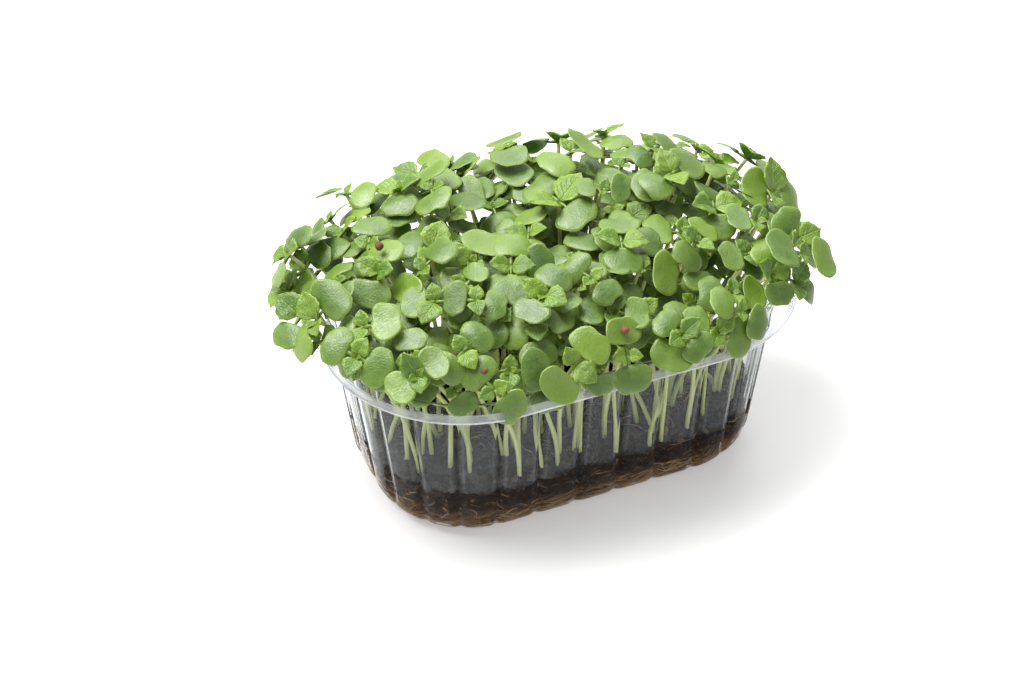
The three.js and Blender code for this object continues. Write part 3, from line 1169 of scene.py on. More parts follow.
@dataclass
class Soil:
    """Peat bed in the tray. Sizes are in millimetres."""

    tray: Tray
    top: float = 16
    gap: float = 0.62
    steps_up: int = 12
    steps_in: int = 30
    rough: float = 1.1
    slope: float = 0.03
    edge_fall: float = 3.4
    edge_half: tuple[float, float] = (45, 28)
    edge_power: float = 2.6
    base: float = 0.9
    waviness: float = 0.4

    def surface(self, x: float, y: float) -> float:
        """Gives the height of the bed.

        Args:
            x, y: place on the plan.

        Returns:
            Its height.
        """
        coarse = noise.noise(Vector((x * 0.16, y * 0.16, 3.1)))
        fine = noise.noise(Vector((x * 0.55, y * 0.55, 8.4)))
        reach = zip((x, y), self.edge_half)
        edge = min(1.0, sum((abs(at) / half) ** self.edge_power for at, half in reach))
        bumps = self.rough * (0.9 * coarse + 0.6 * fine)
        return self.top - self.slope * x - self.edge_fall * edge**3 + bumps

    def rings(self) -> list[np.ndarray]:
        """Lists the rings of the bed, up the wall and then in over the top.

        Returns:
            Points of each ring in metres.
        """
        rings = []
        for step in range(self.steps_up + 1):
            z = self.base + (self.top - self.base) * step / self.steps_up
            offset = self.tray.wall_offset(z) + self.gap
            ring = self.tray.ring(offset, z, self.tray.flute_share(z)) / MM
            for point in ring:
                away = float(np.hypot(point[0], point[1]))
                point[:2] *= 1 - self.waviness * (0.5 + noise.noise(Vector(point) * 0.5)) / away
                rise = self.surface(point[0], point[1]) - self.base
                point[2] = self.base + rise * step / self.steps_up
            rings.append(ring)
        edge = rings[-1]
        for step in range(1, self.steps_in + 1):
            ring = edge * (1 - 0.97 * step / self.steps_in)
            ring[:, 2] = [self.surface(x, y) for x, y in ring[:, :2]]
            rings.append(ring)
        return [ring * MM for ring in rings]

    def build(self) -> bpy.types.Object:
        """Models and dresses the bed.

        Returns:
            The piece.
        """
        piece = Hand.loft("peat_bed", self.rings(), True)
        piece.data.materials.append(Peat().make())
        settle(piece, Slot.MEDIUM, "soil")
        return piece


@dataclass
class Litter:
    """Crumbs, fibres and roots in and on the bed. Sizes are in millimetres."""

    soil: Soil
    crumbs: int = 900
    edge_strands: int = 1000
    feet_strands: int = 320
    wall_strands: int = 420
    seed: int = 5
    crumb_size: tuple[float, float] = (0.3, 1.1)
    crumb_spread: tuple[float, float] = (40, 23)
    feet_spread: tuple[float, float] = (43, 26.5)
    strand_radius: tuple[float, float] = (0.06, 0.19)
    lowest: float = 0.9

    def on_wall(self, round_share: float, z: float, inside: float) -> np.ndarray:
        """Gives a point just inside the wall.

        Args:
            round_share: share of the way round.
            z: height.
            inside: distance from the wall's inner face.

        Returns:
            The point.
        """
        tray = self.soil.tray
        offset = tray.wall_offset(z) + tray.film + inside
        return np.array(tray.on_skin(round_share, offset, z, tray.flute_share(z)))

    def crumb_piece(self) -> bpy.types.Object:
        """Models the loose crumbs.

        Returns:
            The piece.
        """
        draw = random.Random(self.seed)
        pattern = Hand.crumb()
        mesh = PieceMesh()
        for index in range(self.crumbs):
            size = draw.uniform(*self.crumb_size)
            if index % 3 == 1:
                around, inside = draw.random(), draw.uniform(0.8, 4)
                middle = self.on_wall(around, 14, inside + size)
                middle[2] = self.soil.surface(middle[0], middle[1]) + draw.uniform(-0.2, 0.5) * size
            elif index % 3:
                turn, reach = draw.uniform(0, 2 * math.pi), math.sqrt(draw.random()) * 0.95
                x = self.crumb_spread[0] * reach * math.cos(turn)
                y = self.crumb_spread[1] * reach * math.sin(turn)
                middle = np.array([x, y, self.soil.surface(x, y) + 0.2 * size])
            else:
                middle = self.on_wall(draw.random(), draw.uniform(5, 12.5), 0.2 + 0.7 * size)
            shape = np.array([draw.uniform(0.7, 1.3) for _ in range(3)]) * size
            mesh.add(middle + pattern.points * shape, pattern, 0, 0.8 * draw.random() ** 4)
        return mesh.build("peat_crumbs", [bpy.data.materials["damp_peat"]])

    def along_wall(self, shares: np.ndarray, heights: np.ndarray, inside: float) -> np.ndarray:
        """Places a line just inside the wall.

        Args:
            shares: shares of the way round.
            heights: heights, held above the base.
            inside: distance from the wall's inner face.

        Returns:
            Points of the line.
        """
        raised = np.maximum(self.lowest, heights)
        return np.array([self.on_wall(share, z, inside) for share, z in zip(shares, raised)])

    def strand(self, kind: Strand, thick: float, draw: random.Random) -> np.ndarray:
        """Draws the line of one strand.

        Args:
            kind: where it lies.
            thick: its radius.
            draw: source of its chances.

        Returns:
            Seven points of its line.
        """
        steps = np.linspace(0, 1, 7)
        wave = draw.uniform(0.2, 0.9) * np.sin(steps * draw.uniform(3, 8) + draw.uniform(0, 6))
        if kind is Strand.BOTTOM_EDGE:
            start, reach = draw.random(), draw.uniform(0.01, 0.05) * draw.choice((-1, 1))
            level = self.lowest + 5.2 * draw.random() ** 1.8
            heights = level + draw.uniform(-1.2, 1.6) * steps + wave
            shares = start + reach * steps
            return self.along_wall(shares, heights, thick)
        if kind is Strand.ON_WALL:
            start, reach = draw.random(), draw.uniform(-0.014, 0.014)
            level = draw.uniform(4, 13)
            heights = level - draw.uniform(-1.5, 3) * steps
            shares = start + reach * steps + 0.002 * wave
            return self.along_wall(shares, heights, thick)
        turn, far = draw.uniform(0, 2 * math.pi), draw.random() ** 0.25 * 0.98
        middle = 0.94 * np.array(self.feet_spread) * far * (math.cos(turn), math.sin(turn))
        heading, length = draw.uniform(0, 2 * math.pi), draw.uniform(2, 7)
        ahead = np.array([math.cos(heading), math.sin(heading)])
        aside = np.array([-ahead[1], ahead[0]])
        flat = middle + np.outer((steps - 0.5) * length, ahead) + np.outer(wave, aside)
        lift = 0.15 + draw.uniform(0.1, 1.4) * np.sin(math.pi * steps)
        bed = np.array([self.soil.surface(x, y) for x, y in flat])
        return np.column_stack((flat, bed + lift))

    def strand_piece(self) -> bpy.types.Object:
        """Models the fibres and roots.

        Returns:
            The piece.
        """
        draw = random.Random(self.seed + 1)
        pattern = Hand.tube(4, 6)
        mesh = PieceMesh()
        counts = {Strand.BOTTOM_EDGE: self.edge_strands, Strand.STEM_FEET: self.feet_strands,
                  Strand.ON_WALL: self.wall_strands}
        for kind, count in counts.items():
            for _ in range(count):
                thick = draw.uniform(*self.strand_radius)
                line = self.strand(kind, thick * 0.6, draw)
                radius = thick * np.array([0.5, 0.9, 1, 1, 1, 0.8, 0.3])
                mesh.add(along_curve(pattern, line, radius), pattern, 0, draw.uniform(*kind.value))
        return mesh.build("root_fibres", [Fibre().make()])

    def build(self) -> None:
        """Models and dresses the crumbs and strands."""
        settle(self.crumb_piece(), Slot.MEDIUM)
        settle(self.strand_piece(), Slot.MEDIUM)


@dataclass(frozen=True)
class SeedLeaf:
    """Kidney-shaped seed leaf in the head's own units."""

    middle: float = 5.4
    half_length: float = 3.8
    half_width: float = 4.7
    notch: float = 0.12
    kidney: float = 0.1
    rise: float = 0.36
    crown: float = 0.025
    blade: float = 0.42
    pinch: float = 0.2
    tip_notch: float = 0.14
    ruffle: tuple[tuple[float, int], ...] = ((0.022, 5), (0.014, 8))
    wave: tuple[float, float] = (0.15, 0.45)
    flutter: float = 0.14
    cup: tuple[float, float] = (-0.03, 0.06)
    edge_roll: float = 0.3
    pitch: tuple[float, float] = (-0.2, 0.16)
    twist: float = 0.36
    edge_share: float = 0.3
    stalk: float = 3.4
    stalk_drop: tuple[float, ...] = (0.25, 0.3, 0.5, 0.62, 0.62)
    stalk_radius: tuple[float, ...] = (0.5, 0.46, 0.4, 0.28, 0.1)
    stalk_tone: float = 0.6

    def edge(self, angle: np.ndarray) -> tuple[np.ndarray, np.ndarray]:
        """Gives the outline.

        Args:
            angle: angles round the leaf's middle, 0 at its tip.

        Returns:
            Place along and across the leaf.
        """
        cos = np.cos(angle)
        along = self.half_length * cos * (1 - self.notch * np.maximum(0, cos) ** 12)
        return self.middle + along, self.half_width * np.sin(angle) * (1 - self.kidney * cos)

    def height(self, u: np.ndarray, v: np.ndarray, droop: float) -> np.ndarray:
        """Gives the surface.

        Args:
            u, v: place along and across the leaf.
            droop: how far its tip hangs.

        Returns:
            Height over the head's middle.
        """
        return self.rise * np.abs(u) - droop * u * u - self.crown * v * v


@dataclass(frozen=True)
class TrueLeaf:
    """Small folded true leaf in the head's own units."""

    length: float = 5.9
    start: float = 0.4
    half_width: float = 2.25
    rise: float = 0.62
    arch: float = 0.03
    fold: float = 0.3
    blade: float = 0.34
    fullness: float = 1.12
    foot_width: float = 0.4
    teeth: float = 0.07
    teeth_count: float = 4.4
    blister: float = 0.22
    roll: float = 0.5
    bow: tuple[float, float] = (-0.6, 1.6)
    edge_share: float = 0.45
    sway: float = 0.45
    upright: float = 0.5

    def height(self, s: np.ndarray, t: np.ndarray) -> np.ndarray:
        """Gives the surface.

        Args:
            s, t: place along and across the leaf.

        Returns:
            Height over the head's middle.
        """
        return self.rise * np.abs(s) - self.arch * s * s + self.fold * np.abs(t)


@dataclass
class Head:
    """One seedling: its foot, its head's place and three axes, and its own sizes."""

    foot: np.ndarray
    middle: np.ndarray
    basis: np.ndarray
    size: float
    droop: float
    true_size: float

    def at(self, a: np.ndarray, c: np.ndarray, h: np.ndarray) -> np.ndarray:
        """Places points of the head.

        Args:
            a, c, h: place along the seed leaves, across them and up the axis.

        Returns:
            Points in millimetres.
        """
        return self.middle + self.size * (np.column_stack((a, c, h)) @ self.basis)

    def stem(self, share: np.ndarray) -> np.ndarray:
        """Places points of the stem's middle line.

        Args:
            share: shares of the way from the foot to the head.

        Returns:
            Points in millimetres.
        """
        rise = self.middle[2] - self.foot[2]
        lower = self.foot + (self.middle - self.foot) * 0.12
        lower[2] = self.foot[2] + rise * 0.45
        upper = self.middle - self.basis[2] * (rise * 0.3)
        end = self.middle - self.basis[2] * (0.3 * self.size)
        s, k = share[:, None], 1 - share[:, None]
        return k**3 * self.foot + 3 * k * k * s * lower + 3 * k * s * s * upper + s**3 * end


@dataclass
class Clump:
    """Seedlings that stand on one root clump."""

    place: tuple[float, float]
    foot: tuple[float, float]
    turn: float
    heads: list[Head] = field(default_factory=list)


class Room:
    """Space that is taken, in small cubes for a quick answer and as points for an exact one."""

    cube: float = 0.4
    low: tuple[float, float, float] = (-80, -60, -5)
    cubes: tuple[int, int, int] = (400, 300, 225)

    def __init__(self, clearance: float, exact: bool) -> None:
        """Starts empty.

        Args:
            clearance: distance that points keep.
            exact: whether points are measured, or only cubes are looked up.
        """
        self.clearance = clearance
        self.exact = exact
        self.points = np.empty((0, 3))
        self.taken = np.zeros(self.cubes, dtype=bool)
        self.sure = clearance - (self.cube * math.sqrt(3) / 2 if exact else 0)
        reach = math.ceil(clearance / self.cube)
        span = np.arange(-reach, reach + 1)
        self.steps = np.array(np.meshgrid(span, span, span)).reshape(3, -1).T

    def cells(self, points: np.ndarray) -> np.ndarray:
        """Finds the cubes that hold points.

        Args:
            points: the points.

        Returns:
            Numbers of their cubes.
        """
        return np.clip(((points - self.low) / self.cube).astype(int), 8, np.array(self.cubes) - 9)

    def take(self, points: np.ndarray) -> None:
        """Marks points as taken.

        Args:
            points: the points.
        """
        self.points = np.vstack((self.points, points))
        cells = self.cells(points)[:, None] + self.steps
        middles = (cells + 0.5) * self.cube + self.low
        near = cells[np.linalg.norm(middles - points[:, None], axis=2) <= self.sure]
        self.taken[tuple(near.T)] = True

    def is_crowded(self, points: np.ndarray) -> np.ndarray:
        """Finds groups of points that are surely too near to what has been taken.

        Args:
            points: groups of points.

        Returns:
            True for each such group.
        """
        cells = self.cells(points)
        return self.taken[cells[..., 0], cells[..., 1], cells[..., 2]].any(axis=1)

    def is_clear(self, points: np.ndarray) -> bool:
        """Tests whether points are clear of what has been taken.

        Args:
            points: the points.

        Returns:
            True if every point is at least the clearance away.
        """
        if self.is_crowded(points[None])[0]:
            return False
        if not self.exact:
            return True
        low, high = points.min(0) - self.clearance, points.max(0) + self.clearance
        near = self.points[((self.points >= low) & (self.points <= high)).all(axis=1)]
        away = points[:, None] - near
        return not (np.einsum("ijk,ijk->ij", away, away) < self.clearance**2).any()


@dataclass(frozen=True)
class Habit:
    """How far seedlings drop while they look for a place, and how large they are."""

    drop: float
    lift_share: float
    lower_inside: float
    size: tuple[float, float]


@dataclass
class Growth:
    """Seeded rule that sets out the seedlings. Sizes are in millimetres."""

    tray: Tray
    seed: int = 21
    clumps: int = 54
    heads_per_clump: int = 3
    tries: int = 400
    clearance: float = 1.35
    root_spread: tuple[float, float] = (41, 24.5)
    head_spread: tuple[float, float] = (57, 35)
    outline_power: float = 2.6
    head_reach: float = 5.5
    foot_reach: float = 0.5
    foot_level: float = 13
    canopy_top: float = 57
    canopy_fall: float = 7.5
    canopy_tilt: float = 4
    lowest_edge: float = 45.5
    wander: float = 6
    height_jitter: float = 3
    outward_lean: float = 0.75
    light_lean: tuple[float, float] = (-0.1, -0.24)
    lean_jitter: float = 0.45
    droop: tuple[float, float] = (0.035, 0.06)
    true_size: tuple[float, float] = (0.55, 1.15)
    golden_angle: float = math.radians(137.508)
    plastic: float = 1.324717957244746
    multiplier: int = 1664525
    increment: int = 1013904223
    modulus: int = 4294967296
    draws_per_try: int = 10
    batch: int = 40
    fill_clumps: int = 240
    fill_tries: int = 80
    fill_clearance: float = 0.6
    fill_roots: tuple[float, float] = (43, 27)
    fill_outward: tuple[float, float, float] = (0.95, 0.4, 0.2)
    habit: Habit = Habit(15, 0.3, 8, (0.8, 1.06))
    fill_habit: Habit = Habit(20, 0.12, 16, (0.66, 0.98))
    seed_leaf: SeedLeaf = SeedLeaf()
    true_leaf: TrueLeaf = TrueLeaf()

    def __post_init__(self) -> None:
        """Sets out the points that stand for a seedling while it looks for a place."""
        self.state = self.seed
        u, v, s, t = [], [], [], []
        rib = ((1.6, 0), (2.9, 0), (4.3, 0), (5.7, 0), (2.9, 2.1), (2.9, -2.1), (4.3, 1), (4.3, -1))
        for side in (1, -1):
            for share, count in ((0, 1), (0.36, 6), (0.7, 11), (1, 16)):
                x, y = self.seed_leaf.edge(np.arange(count) / count * 2 * math.pi)
                u.extend(side * (self.seed_leaf.middle + (x - self.seed_leaf.middle) * share))
                v.extend(side * y * share)
            s.extend(side * place for place, _ in rib)
            t.extend(place for _, place in rib)
        u, v, s, t = (np.array(values) for values in (u, v, s, t))
        self.u_squared = u * u
        seed_part = np.column_stack((u, v, self.seed_leaf.height(u, v, 0)))
        true_part = np.column_stack((-t, s, self.true_leaf.height(s, t)))
        self.local = np.vstack((seed_part, true_part))
        self.stem_shares = 0.35 + 0.65 * np.arange(23) / 22
        factor, shift = [1], [0]
        for _ in range(self.batch * self.draws_per_try):
            factor.append(factor[-1] * self.multiplier % self.modulus)
            shift.append((shift[-1] * self.multiplier + self.increment) % self.modulus)
        self.factor, self.shift = (np.array(row[1:], dtype=np.uint64) for row in (factor, shift))

    def draws(self, tries: int) -> np.ndarray:
        """Draws the numbers of the next tries, without moving on.

        Args:
            tries: number of tries.

        Returns:
            Ten states of the seeded rule for each try.
        """
        count = tries * self.draws_per_try
        return (self.factor[:count] * np.uint64(self.state) + self.shift[:count]) % self.modulus

    def outline_share(self, x: np.ndarray, y: np.ndarray) -> np.ndarray:
        """Measures places against the rounded outline.

        Args:
            x, y: places, 1 on the outline's ends.

        Returns:
            1 on the outline, less inside.
        """
        power = self.outline_power
        return (np.abs(x) ** power + np.abs(y) ** power) ** (1 / power)

    def places(self, count: int) -> list[tuple[float, float]]:
        """Spreads clumps evenly.

        Args:
            count: number of clumps.

        Returns:
            Their places, 1 on the outline's ends.
        """
        found, i = [], 0
        while len(found) < count:
            i += 1
            x = 2 * ((0.5 + i / self.plastic) % 1) - 1
            y = 2 * ((0.5 + i / (self.plastic * self.plastic)) % 1) - 1
            if self.outline_share(x, y) < 1:
                found.append((x, y))
        return found

    def trials(self, clump: Clump, spoke: int, freedom: np.ndarray, habit: Habit) -> list[np.ndarray]:
        """Tries a seedling several times over.

        Args:
            clump: the clump it stands on.
            spoke: its number on the clump.
            freedom: how far each try may stray.
            habit: how such seedlings grow.

        Returns:
            For each try its middle, its axes, and its size, droop and true-leaf size.
        """
        chance = (self.draws(len(freedom)) / self.modulus).reshape(-1, self.draws_per_try).T
        spin = clump.turn + spoke / self.heads_per_clump * 2 * math.pi
        reach = (math.cos(spin), math.sin(spin))
        plan = [clump.place[i] * self.head_spread[i] + reach[i] * self.head_reach
                + freedom * self.wander * (2 * chance[i] - 1) for i in (0, 1)]
        outward = [plan[i] / self.head_spread[i] for i in (0, 1)]
        spread = self.outline_share(*outward)
        keep = np.minimum(1, 1 / spread)
        plan, outward = ([value * keep for value in pair] for pair in (plan, outward))
        edge = np.minimum(1, spread)
        level = self.canopy_top - self.canopy_fall * edge**3 + self.canopy_tilt * outward[1]
        drop = (freedom * habit.drop * (chance[2] - habit.lift_share)
                + self.height_jitter * (chance[3] - 0.5))
        height = np.maximum(level - drop, self.lowest_edge - habit.lower_inside * (1 - edge))
        lean = [outward[i] * (self.outward_lean * edge) + self.light_lean[i]
                + self.lean_jitter * (chance[4 + i] - 0.5) for i in (0, 1)]
        axis = np.column_stack((*lean, np.ones(len(edge))))
        axis /= np.linalg.norm(axis, axis=1)[:, None]
        first = np.array([[1.0, 0, 0]]) - axis * axis[:, :1]
        first /= np.linalg.norm(first, axis=1)[:, None]
        yaw = (chance[6] * math.pi)[:, None]
        along = first * np.cos(yaw) + np.cross(axis, first) * np.sin(yaw)
        basis = np.stack((along, np.cross(axis, along), axis), axis=1)
        spans = (habit.size, self.droop, self.true_size)
        own = [low + (high - low) * chance[7 + i] for i, (low, high) in enumerate(spans)]
        return [np.column_stack((*plan, height)), basis, np.column_stack(own)]

    def first_clear(self, clump: Clump, spoke: int, freedom: np.ndarray, habit: Habit,
                    room: Room) -> Head | None:
        """Finds the first try that is clear, and moves the draws on to the one after it.

        Args:
            clump: the clump it stands on.
            spoke: its number on the clump.
            freedom: how far each try may stray.
            habit: how such seedlings grow.
            room: space that is taken.

        Returns:
            The seedling, or nothing.
        """
        spin = clump.turn + spoke / self.heads_per_clump * 2 * math.pi
        foot = np.array([clump.foot[0] + math.cos(spin) * self.foot_reach,
                         clump.foot[1] + math.sin(spin) * self.foot_reach, self.foot_level])
        for start in range(0, len(freedom), self.batch):
            part = freedom[start:start + self.batch]
            middle, basis, own = self.trials(clump, spoke, part, habit)
            states = self.draws(len(part))
            count = len(self.u_squared)
            local = np.repeat(self.local[None], len(part), axis=0)
            local[:, :count, 2] -= own[:, 1:2] * self.u_squared
            local[:, count:] *= own[:, 2, None, None]
            points = middle[:, None] + own[:, 0, None, None] * (local @ basis)
            for i in np.flatnonzero(~room.is_crowded(points)):
                head = Head(foot, middle[i], basis[i], *own[i])
                if room.is_clear(np.vstack((points[i], head.stem(self.stem_shares)))):
                    self.state = int(states[(i + 1) * self.draws_per_try - 1])
                    return head
            self.state = int(states[-1])
        return None

    def samples(self, head: Head) -> np.ndarray:
        """Places the points that stand for a seedling.

        Args:
            head: the seedling.

        Returns:
            The points.
        """
        count = len(self.u_squared)
        local = self.local.copy()
        local[:count, 2] -= head.droop * self.u_squared
        local[count:] *= head.true_size
        return np.vstack((head.middle + head.size * (local @ head.basis), head.stem(self.stem_shares)))

    def rim(self) -> np.ndarray:
        """Places points along the rim that seedlings keep clear of.

        Returns:
            The points.
        """
        tray = self.tray
        radius = tray.rim_corner - tray.flange
        rows = ((0, tray.height - tray.lip_drop, 0), (tray.lip_wall, tray.height, 0),
                (tray.flange / 2, tray.height, 0), (tray.flange, tray.height, 0),
                (tray.flange + tray.wall, tray.height - tray.ledge_depth, 1))
        points, distance = [], 0.0
        while distance < tray.perimeter(radius):
            station = tray.station(distance, radius)
            points.extend(tray.point(station, *row) for row in rows)
            distance += self.clearance
        return np.array(points)

    def grow(self) -> list[Clump]:
        """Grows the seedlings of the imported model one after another, each on its first clear try.

        Returns:
            The clumps that carry any.
        """
        room = Room(self.clearance, True)
        room.take(self.rim())
        clumps = [Clump(place, (place[0] * self.root_spread[0], place[1] * self.root_spread[1]),
                        i * self.golden_angle) for i, place in enumerate(self.places(self.clumps))]
        freedom = np.arange(self.tries) / self.tries
        for spoke in range(self.heads_per_clump):
            for clump in clumps:
                head = self.first_clear(clump, spoke, freedom, self.habit, room)
                if head:
                    clump.heads.append(head)
                    room.take(self.samples(head))
        return [clump for clump in clumps if clump.heads]

    def thicken(self, clumps: list[Clump]) -> list[Clump]:
        """Grows the rest of the seedlings into the gaps that are left, closer than solids may stand.

        Args:
            clumps: the clumps that stand already.

        Returns:
            More clumps.
        """
        room = Room(self.fill_clearance, False)
        room.take(self.rim())
        for clump in clumps:
            for head in clump.heads:
                room.take(self.samples(head))
        more = []
        freedom = 0.25 + 0.95 * np.arange(self.fill_tries) / self.fill_tries
        for i, (x, y) in enumerate(self.places(self.fill_clumps)):
            outer = self.outline_share(x, y) ** -self.fill_outward[i % 3]
            foot = (x * outer * self.fill_roots[0], y * outer * self.fill_roots[1])
            clump = Clump((x, y), foot, i * self.golden_angle)
            head = self.first_clear(clump, i, freedom, self.fill_habit, room)
            if head:
                clump.heads.append(head)
                room.take(self.samples(head))
                more.append(clump)
        return more


@dataclass
class Seedlings:
    """Dresses the clumps with fine stems and leaves. Sizes are in millimetres."""

    growth: Growth
    stem_radius: float = 0.48
    root_depth: float = 2.5
    seed: int = 11
    per_piece: int = 10
    stem_points: int = 13
    stem_bow: tuple[float, float] = (0.3, 1.1)
    bow_turns: tuple[float, float] = (5, 9)
    stem_taper: tuple[float, float] = (1.1, 0.9)
    stem_tone: float = 0.6
    young_share: float = 0.55
    true_span: tuple[float, float] = (0.75, 1.2)
    young_span: tuple[float, float] = (0.25, 0.45)
    # Tone ceiling for the lower fill seedlings' seed leaves, darker as painted shade.
    shaded_fill_tone: float = 0.5
    largest_miss: float = 2.5

    def patterns(self) -> None:
        """Models the shapes that repeat."""
        self.disc = Hand.disc(26, (0.12, 0.4))
        self.blade = Hand.blade(11, 6)
        self.bar = Hand.tube(8, self.stem_points - 1)
        self.stalk = Hand.tube(6, 4)

    def finishes(self) -> list[bpy.types.Material]:
        """Makes the materials of a clump.

        Returns:
            Materials in the order of Tissue.
        """
        seed_leaf = LeafFinish(
            "seed_leaf", deep=srgb(54, 88, 8), bright=srgb(106, 136, 22), bloom=srgb(130, 158, 62),
            vein=srgb(118, 152, 58), margin=srgb(166, 190, 92), under=srgb(92, 132, 26),
            pairs=0.0, slant=0.9, vein_share=0.04, vein_depth=0.0001, grain=1.6, crease=0.12)
        true_leaf = LeafFinish(
            "true_leaf", deep=srgb(62, 102, 8), bright=srgb(110, 142, 20), bloom=srgb(124, 152, 44),
            vein=srgb(142, 172, 66), margin=srgb(140, 170, 58), under=srgb(106, 144, 34),
            pairs=2.6, slant=0.8, vein_share=0.45, vein_depth=0.0003)
        return [StemFinish().make(), seed_leaf.make(), true_leaf.make()]

    def add_seed_leaf(self, mesh: PieceMesh, head: Head, side: int, tone: float,
                      draw: random.Random) -> None:
        """Adds one seed leaf and its stalk.

        Args:
            mesh: the clump's mesh.
            head: the seedling.
            side: 1 or -1 for the two leaves of a pair.
            tone: how light it may be; lower on the lower fill seedlings, as painted shade.
            draw: source of its chances.
        """
        shape = self.growth.seed_leaf
        x, y, z = self.disc.points.T
        reach, angle = np.hypot(x, y), np.arctan2(y, x)
        cos = np.cos(angle)
        edge_u, edge_v = shape.edge(angle)
        notch = draw.uniform(0.0, shape.tip_notch) * np.maximum(0, cos) ** 10
        base = 1 - shape.pinch * np.maximum(0, -cos) ** 3 - notch
        ruffle = 1 + sum(size * np.sin(count * angle + draw.uniform(0, 6))
                         for size, count in shape.ruffle)
        u = shape.middle + (edge_u - shape.middle) * reach * base * ruffle
        v = edge_v * reach * ruffle
        wave = draw.uniform(*shape.wave) * np.sin(2 * angle + draw.uniform(0, 6)) * reach**3
        wave += shape.flutter * np.sin(5 * angle + draw.uniform(0, 6)) * reach**4
        wave += draw.uniform(*shape.cup) * (v * v + (u - shape.middle) ** 2)
        pitch = draw.uniform(*shape.pitch)
        roll = -shape.edge_roll * draw.random() * reach**6
        roll += pitch * u + draw.uniform(-shape.twist, shape.twist) * v
        blade = z * shape.blade * (shape.edge_share + (1 - shape.edge_share) * (1 - reach**2))
        height = shape.height(u, v, head.droop) + wave + roll + blade
        leaf = np.column_stack((0.5 + 0.5 * x, 0.5 + 0.5 * y))
        points = head.at(side * u, side * v, height)
        mesh.add(points, self.disc, Tissue.SEED_LEAF, tone * draw.random(), leaf, -z)
        run = np.linspace(0, shape.stalk, len(shape.stalk_drop))
        lift = shape.height(run, run * 0, head.droop) + pitch * run - np.array(shape.stalk_drop)
        line = head.at(side * run, run * 0, lift)
        bar = along_curve(self.stalk, line, np.array(shape.stalk_radius))
        mesh.add(bar, self.stalk, Tissue.SEED_LEAF, shape.stalk_tone)

    def add_true_leaf(self, mesh: PieceMesh, head: Head, side: int, grown: float, turned: bool,
                      draw: random.Random) -> None:
        """Adds one true leaf.

        Args:
            mesh: the clump's mesh.
            head: the seedling.
            side: 1 or -1 for the two leaves of a pair.
            grown: its size.
            turned: whether it stands over the seed leaves, as the youngest pair does.
            draw: source of its chances.
        """
        shape = self.growth.true_leaf
        x, y, z = self.blade.points.T
        a = (x + 1) / 2
        swell = np.sin(math.pi * a**0.62) ** 0.9
        width = shape.fullness * shape.half_width * swell + shape.foot_width * (1 - a)
        width *= 1 + shape.teeth * np.sin(2 * math.pi * shape.teeth_count * a) * np.abs(y) ** 4
        s = shape.start + (shape.length - shape.start) * a
        t = y * width
        folds = np.sin(2 * math.pi * (2.6 * a - 0.7 * np.abs(y)))
        blister = shape.blister * folds * np.sin(math.pi * np.abs(y))
        curl = -draw.uniform(0.0, shape.roll) * y**2 - draw.uniform(*shape.bow) * a**2
        blade = z * shape.blade * (shape.edge_share + (1 - shape.edge_share) * (1 - y**2))
        height = shape.height(s, t) + blister + curl + blade
        leaf = np.column_stack((0.5 + 0.5 * x, 0.5 + 0.5 * y))
        yaw = draw.uniform(-shape.sway, shape.sway)
        s, t = s * math.cos(yaw) - t * math.sin(yaw), s * math.sin(yaw) + t * math.cos(yaw)
        along, across = -side * t * grown, side * s * grown
        if turned:
            along, across = side * s * grown, side * t * grown
            height = height + shape.upright * s
        points = head.at(along, across, height * grown)
        mesh.add(points, self.blade, Tissue.TRUE_LEAF, draw.random(), leaf, -z)

    def add_seedling(self, mesh: PieceMesh, head: Head, tone: float, draw: random.Random) -> None:
        """Adds a whole seedling.

        Args:
            mesh: the mesh it joins.
            head: the seedling.
            tone: how light its seed leaves may be; lower on the lower fill seedlings, as painted shade.
            draw: source of its chances.
        """
        share = np.linspace(0, 1, self.stem_points)
        sway, lean = draw.uniform(0, 2 * math.pi), draw.uniform(*self.stem_bow)
        turns = np.sin(share * draw.uniform(*self.bow_turns) + draw.uniform(0, 6))
        bow = lean * turns * np.sin(math.pi * share)
        line = head.stem(share) + np.outer(bow, (math.cos(sway), math.sin(sway), 0))
        line[0, 2] -= self.root_depth
        radius = self.stem_radius * np.linspace(*self.stem_taper, self.stem_points)
        tube = along_curve(self.bar, line, radius)
        mesh.add(tube, self.bar, Tissue.STEM, self.stem_tone * draw.random())
        young = draw.random() < self.young_share
        for side in (1, -1):
            self.add_seed_leaf(mesh, head, side, tone, draw)
            grown = head.true_size * draw.uniform(*self.true_span)
            self.add_true_leaf(mesh, head, side, grown, False, draw)
            if young:
                grown = head.true_size * draw.uniform(*self.young_span)
                self.add_true_leaf(mesh, head, side, grown, True, draw)

    def clump(self, number: int, clump: Clump, finishes: list[bpy.types.Material]) -> None:
        """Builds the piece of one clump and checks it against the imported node.

        Args:
            number: the clump's number from 1.
            clump: its seedlings.
            finishes: materials in the order of Tissue.
        """
        draw = random.Random(self.seed + number)
        mesh = PieceMesh()
        for head in clump.heads:
            self.add_seedling(mesh, head, 1.0, draw)
        node = f"seedlings_{number:02d}"
        piece = mesh.build(f"sprouts_{number:02d}", finishes)
        low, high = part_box(node)
        points = np.vstack(mesh.points) * MM
        gaps = np.abs((points.min(0) - low, points.max(0) - high))
        miss = float(gaps[:, :2].max())
        if miss > self.largest_miss * MM:
            LOG.warning("%s lies %.1f mm off its packed node", piece.name, miss / MM)
        settle(piece, Slot.GREENS, node)

    def build(self) -> None:
        """Models and dresses every clump."""
        self.patterns()
        finishes = self.finishes()
        clumps = self.growth.grow()
        LOG.info("%d clumps with %d seedlings", len(clumps), sum(len(c.heads) for c in clumps))
        for number, clump in enumerate(clumps, 1):
            self.clump(number, clump, finishes)
        self.rest(self.growth.thicken(clumps), finishes)

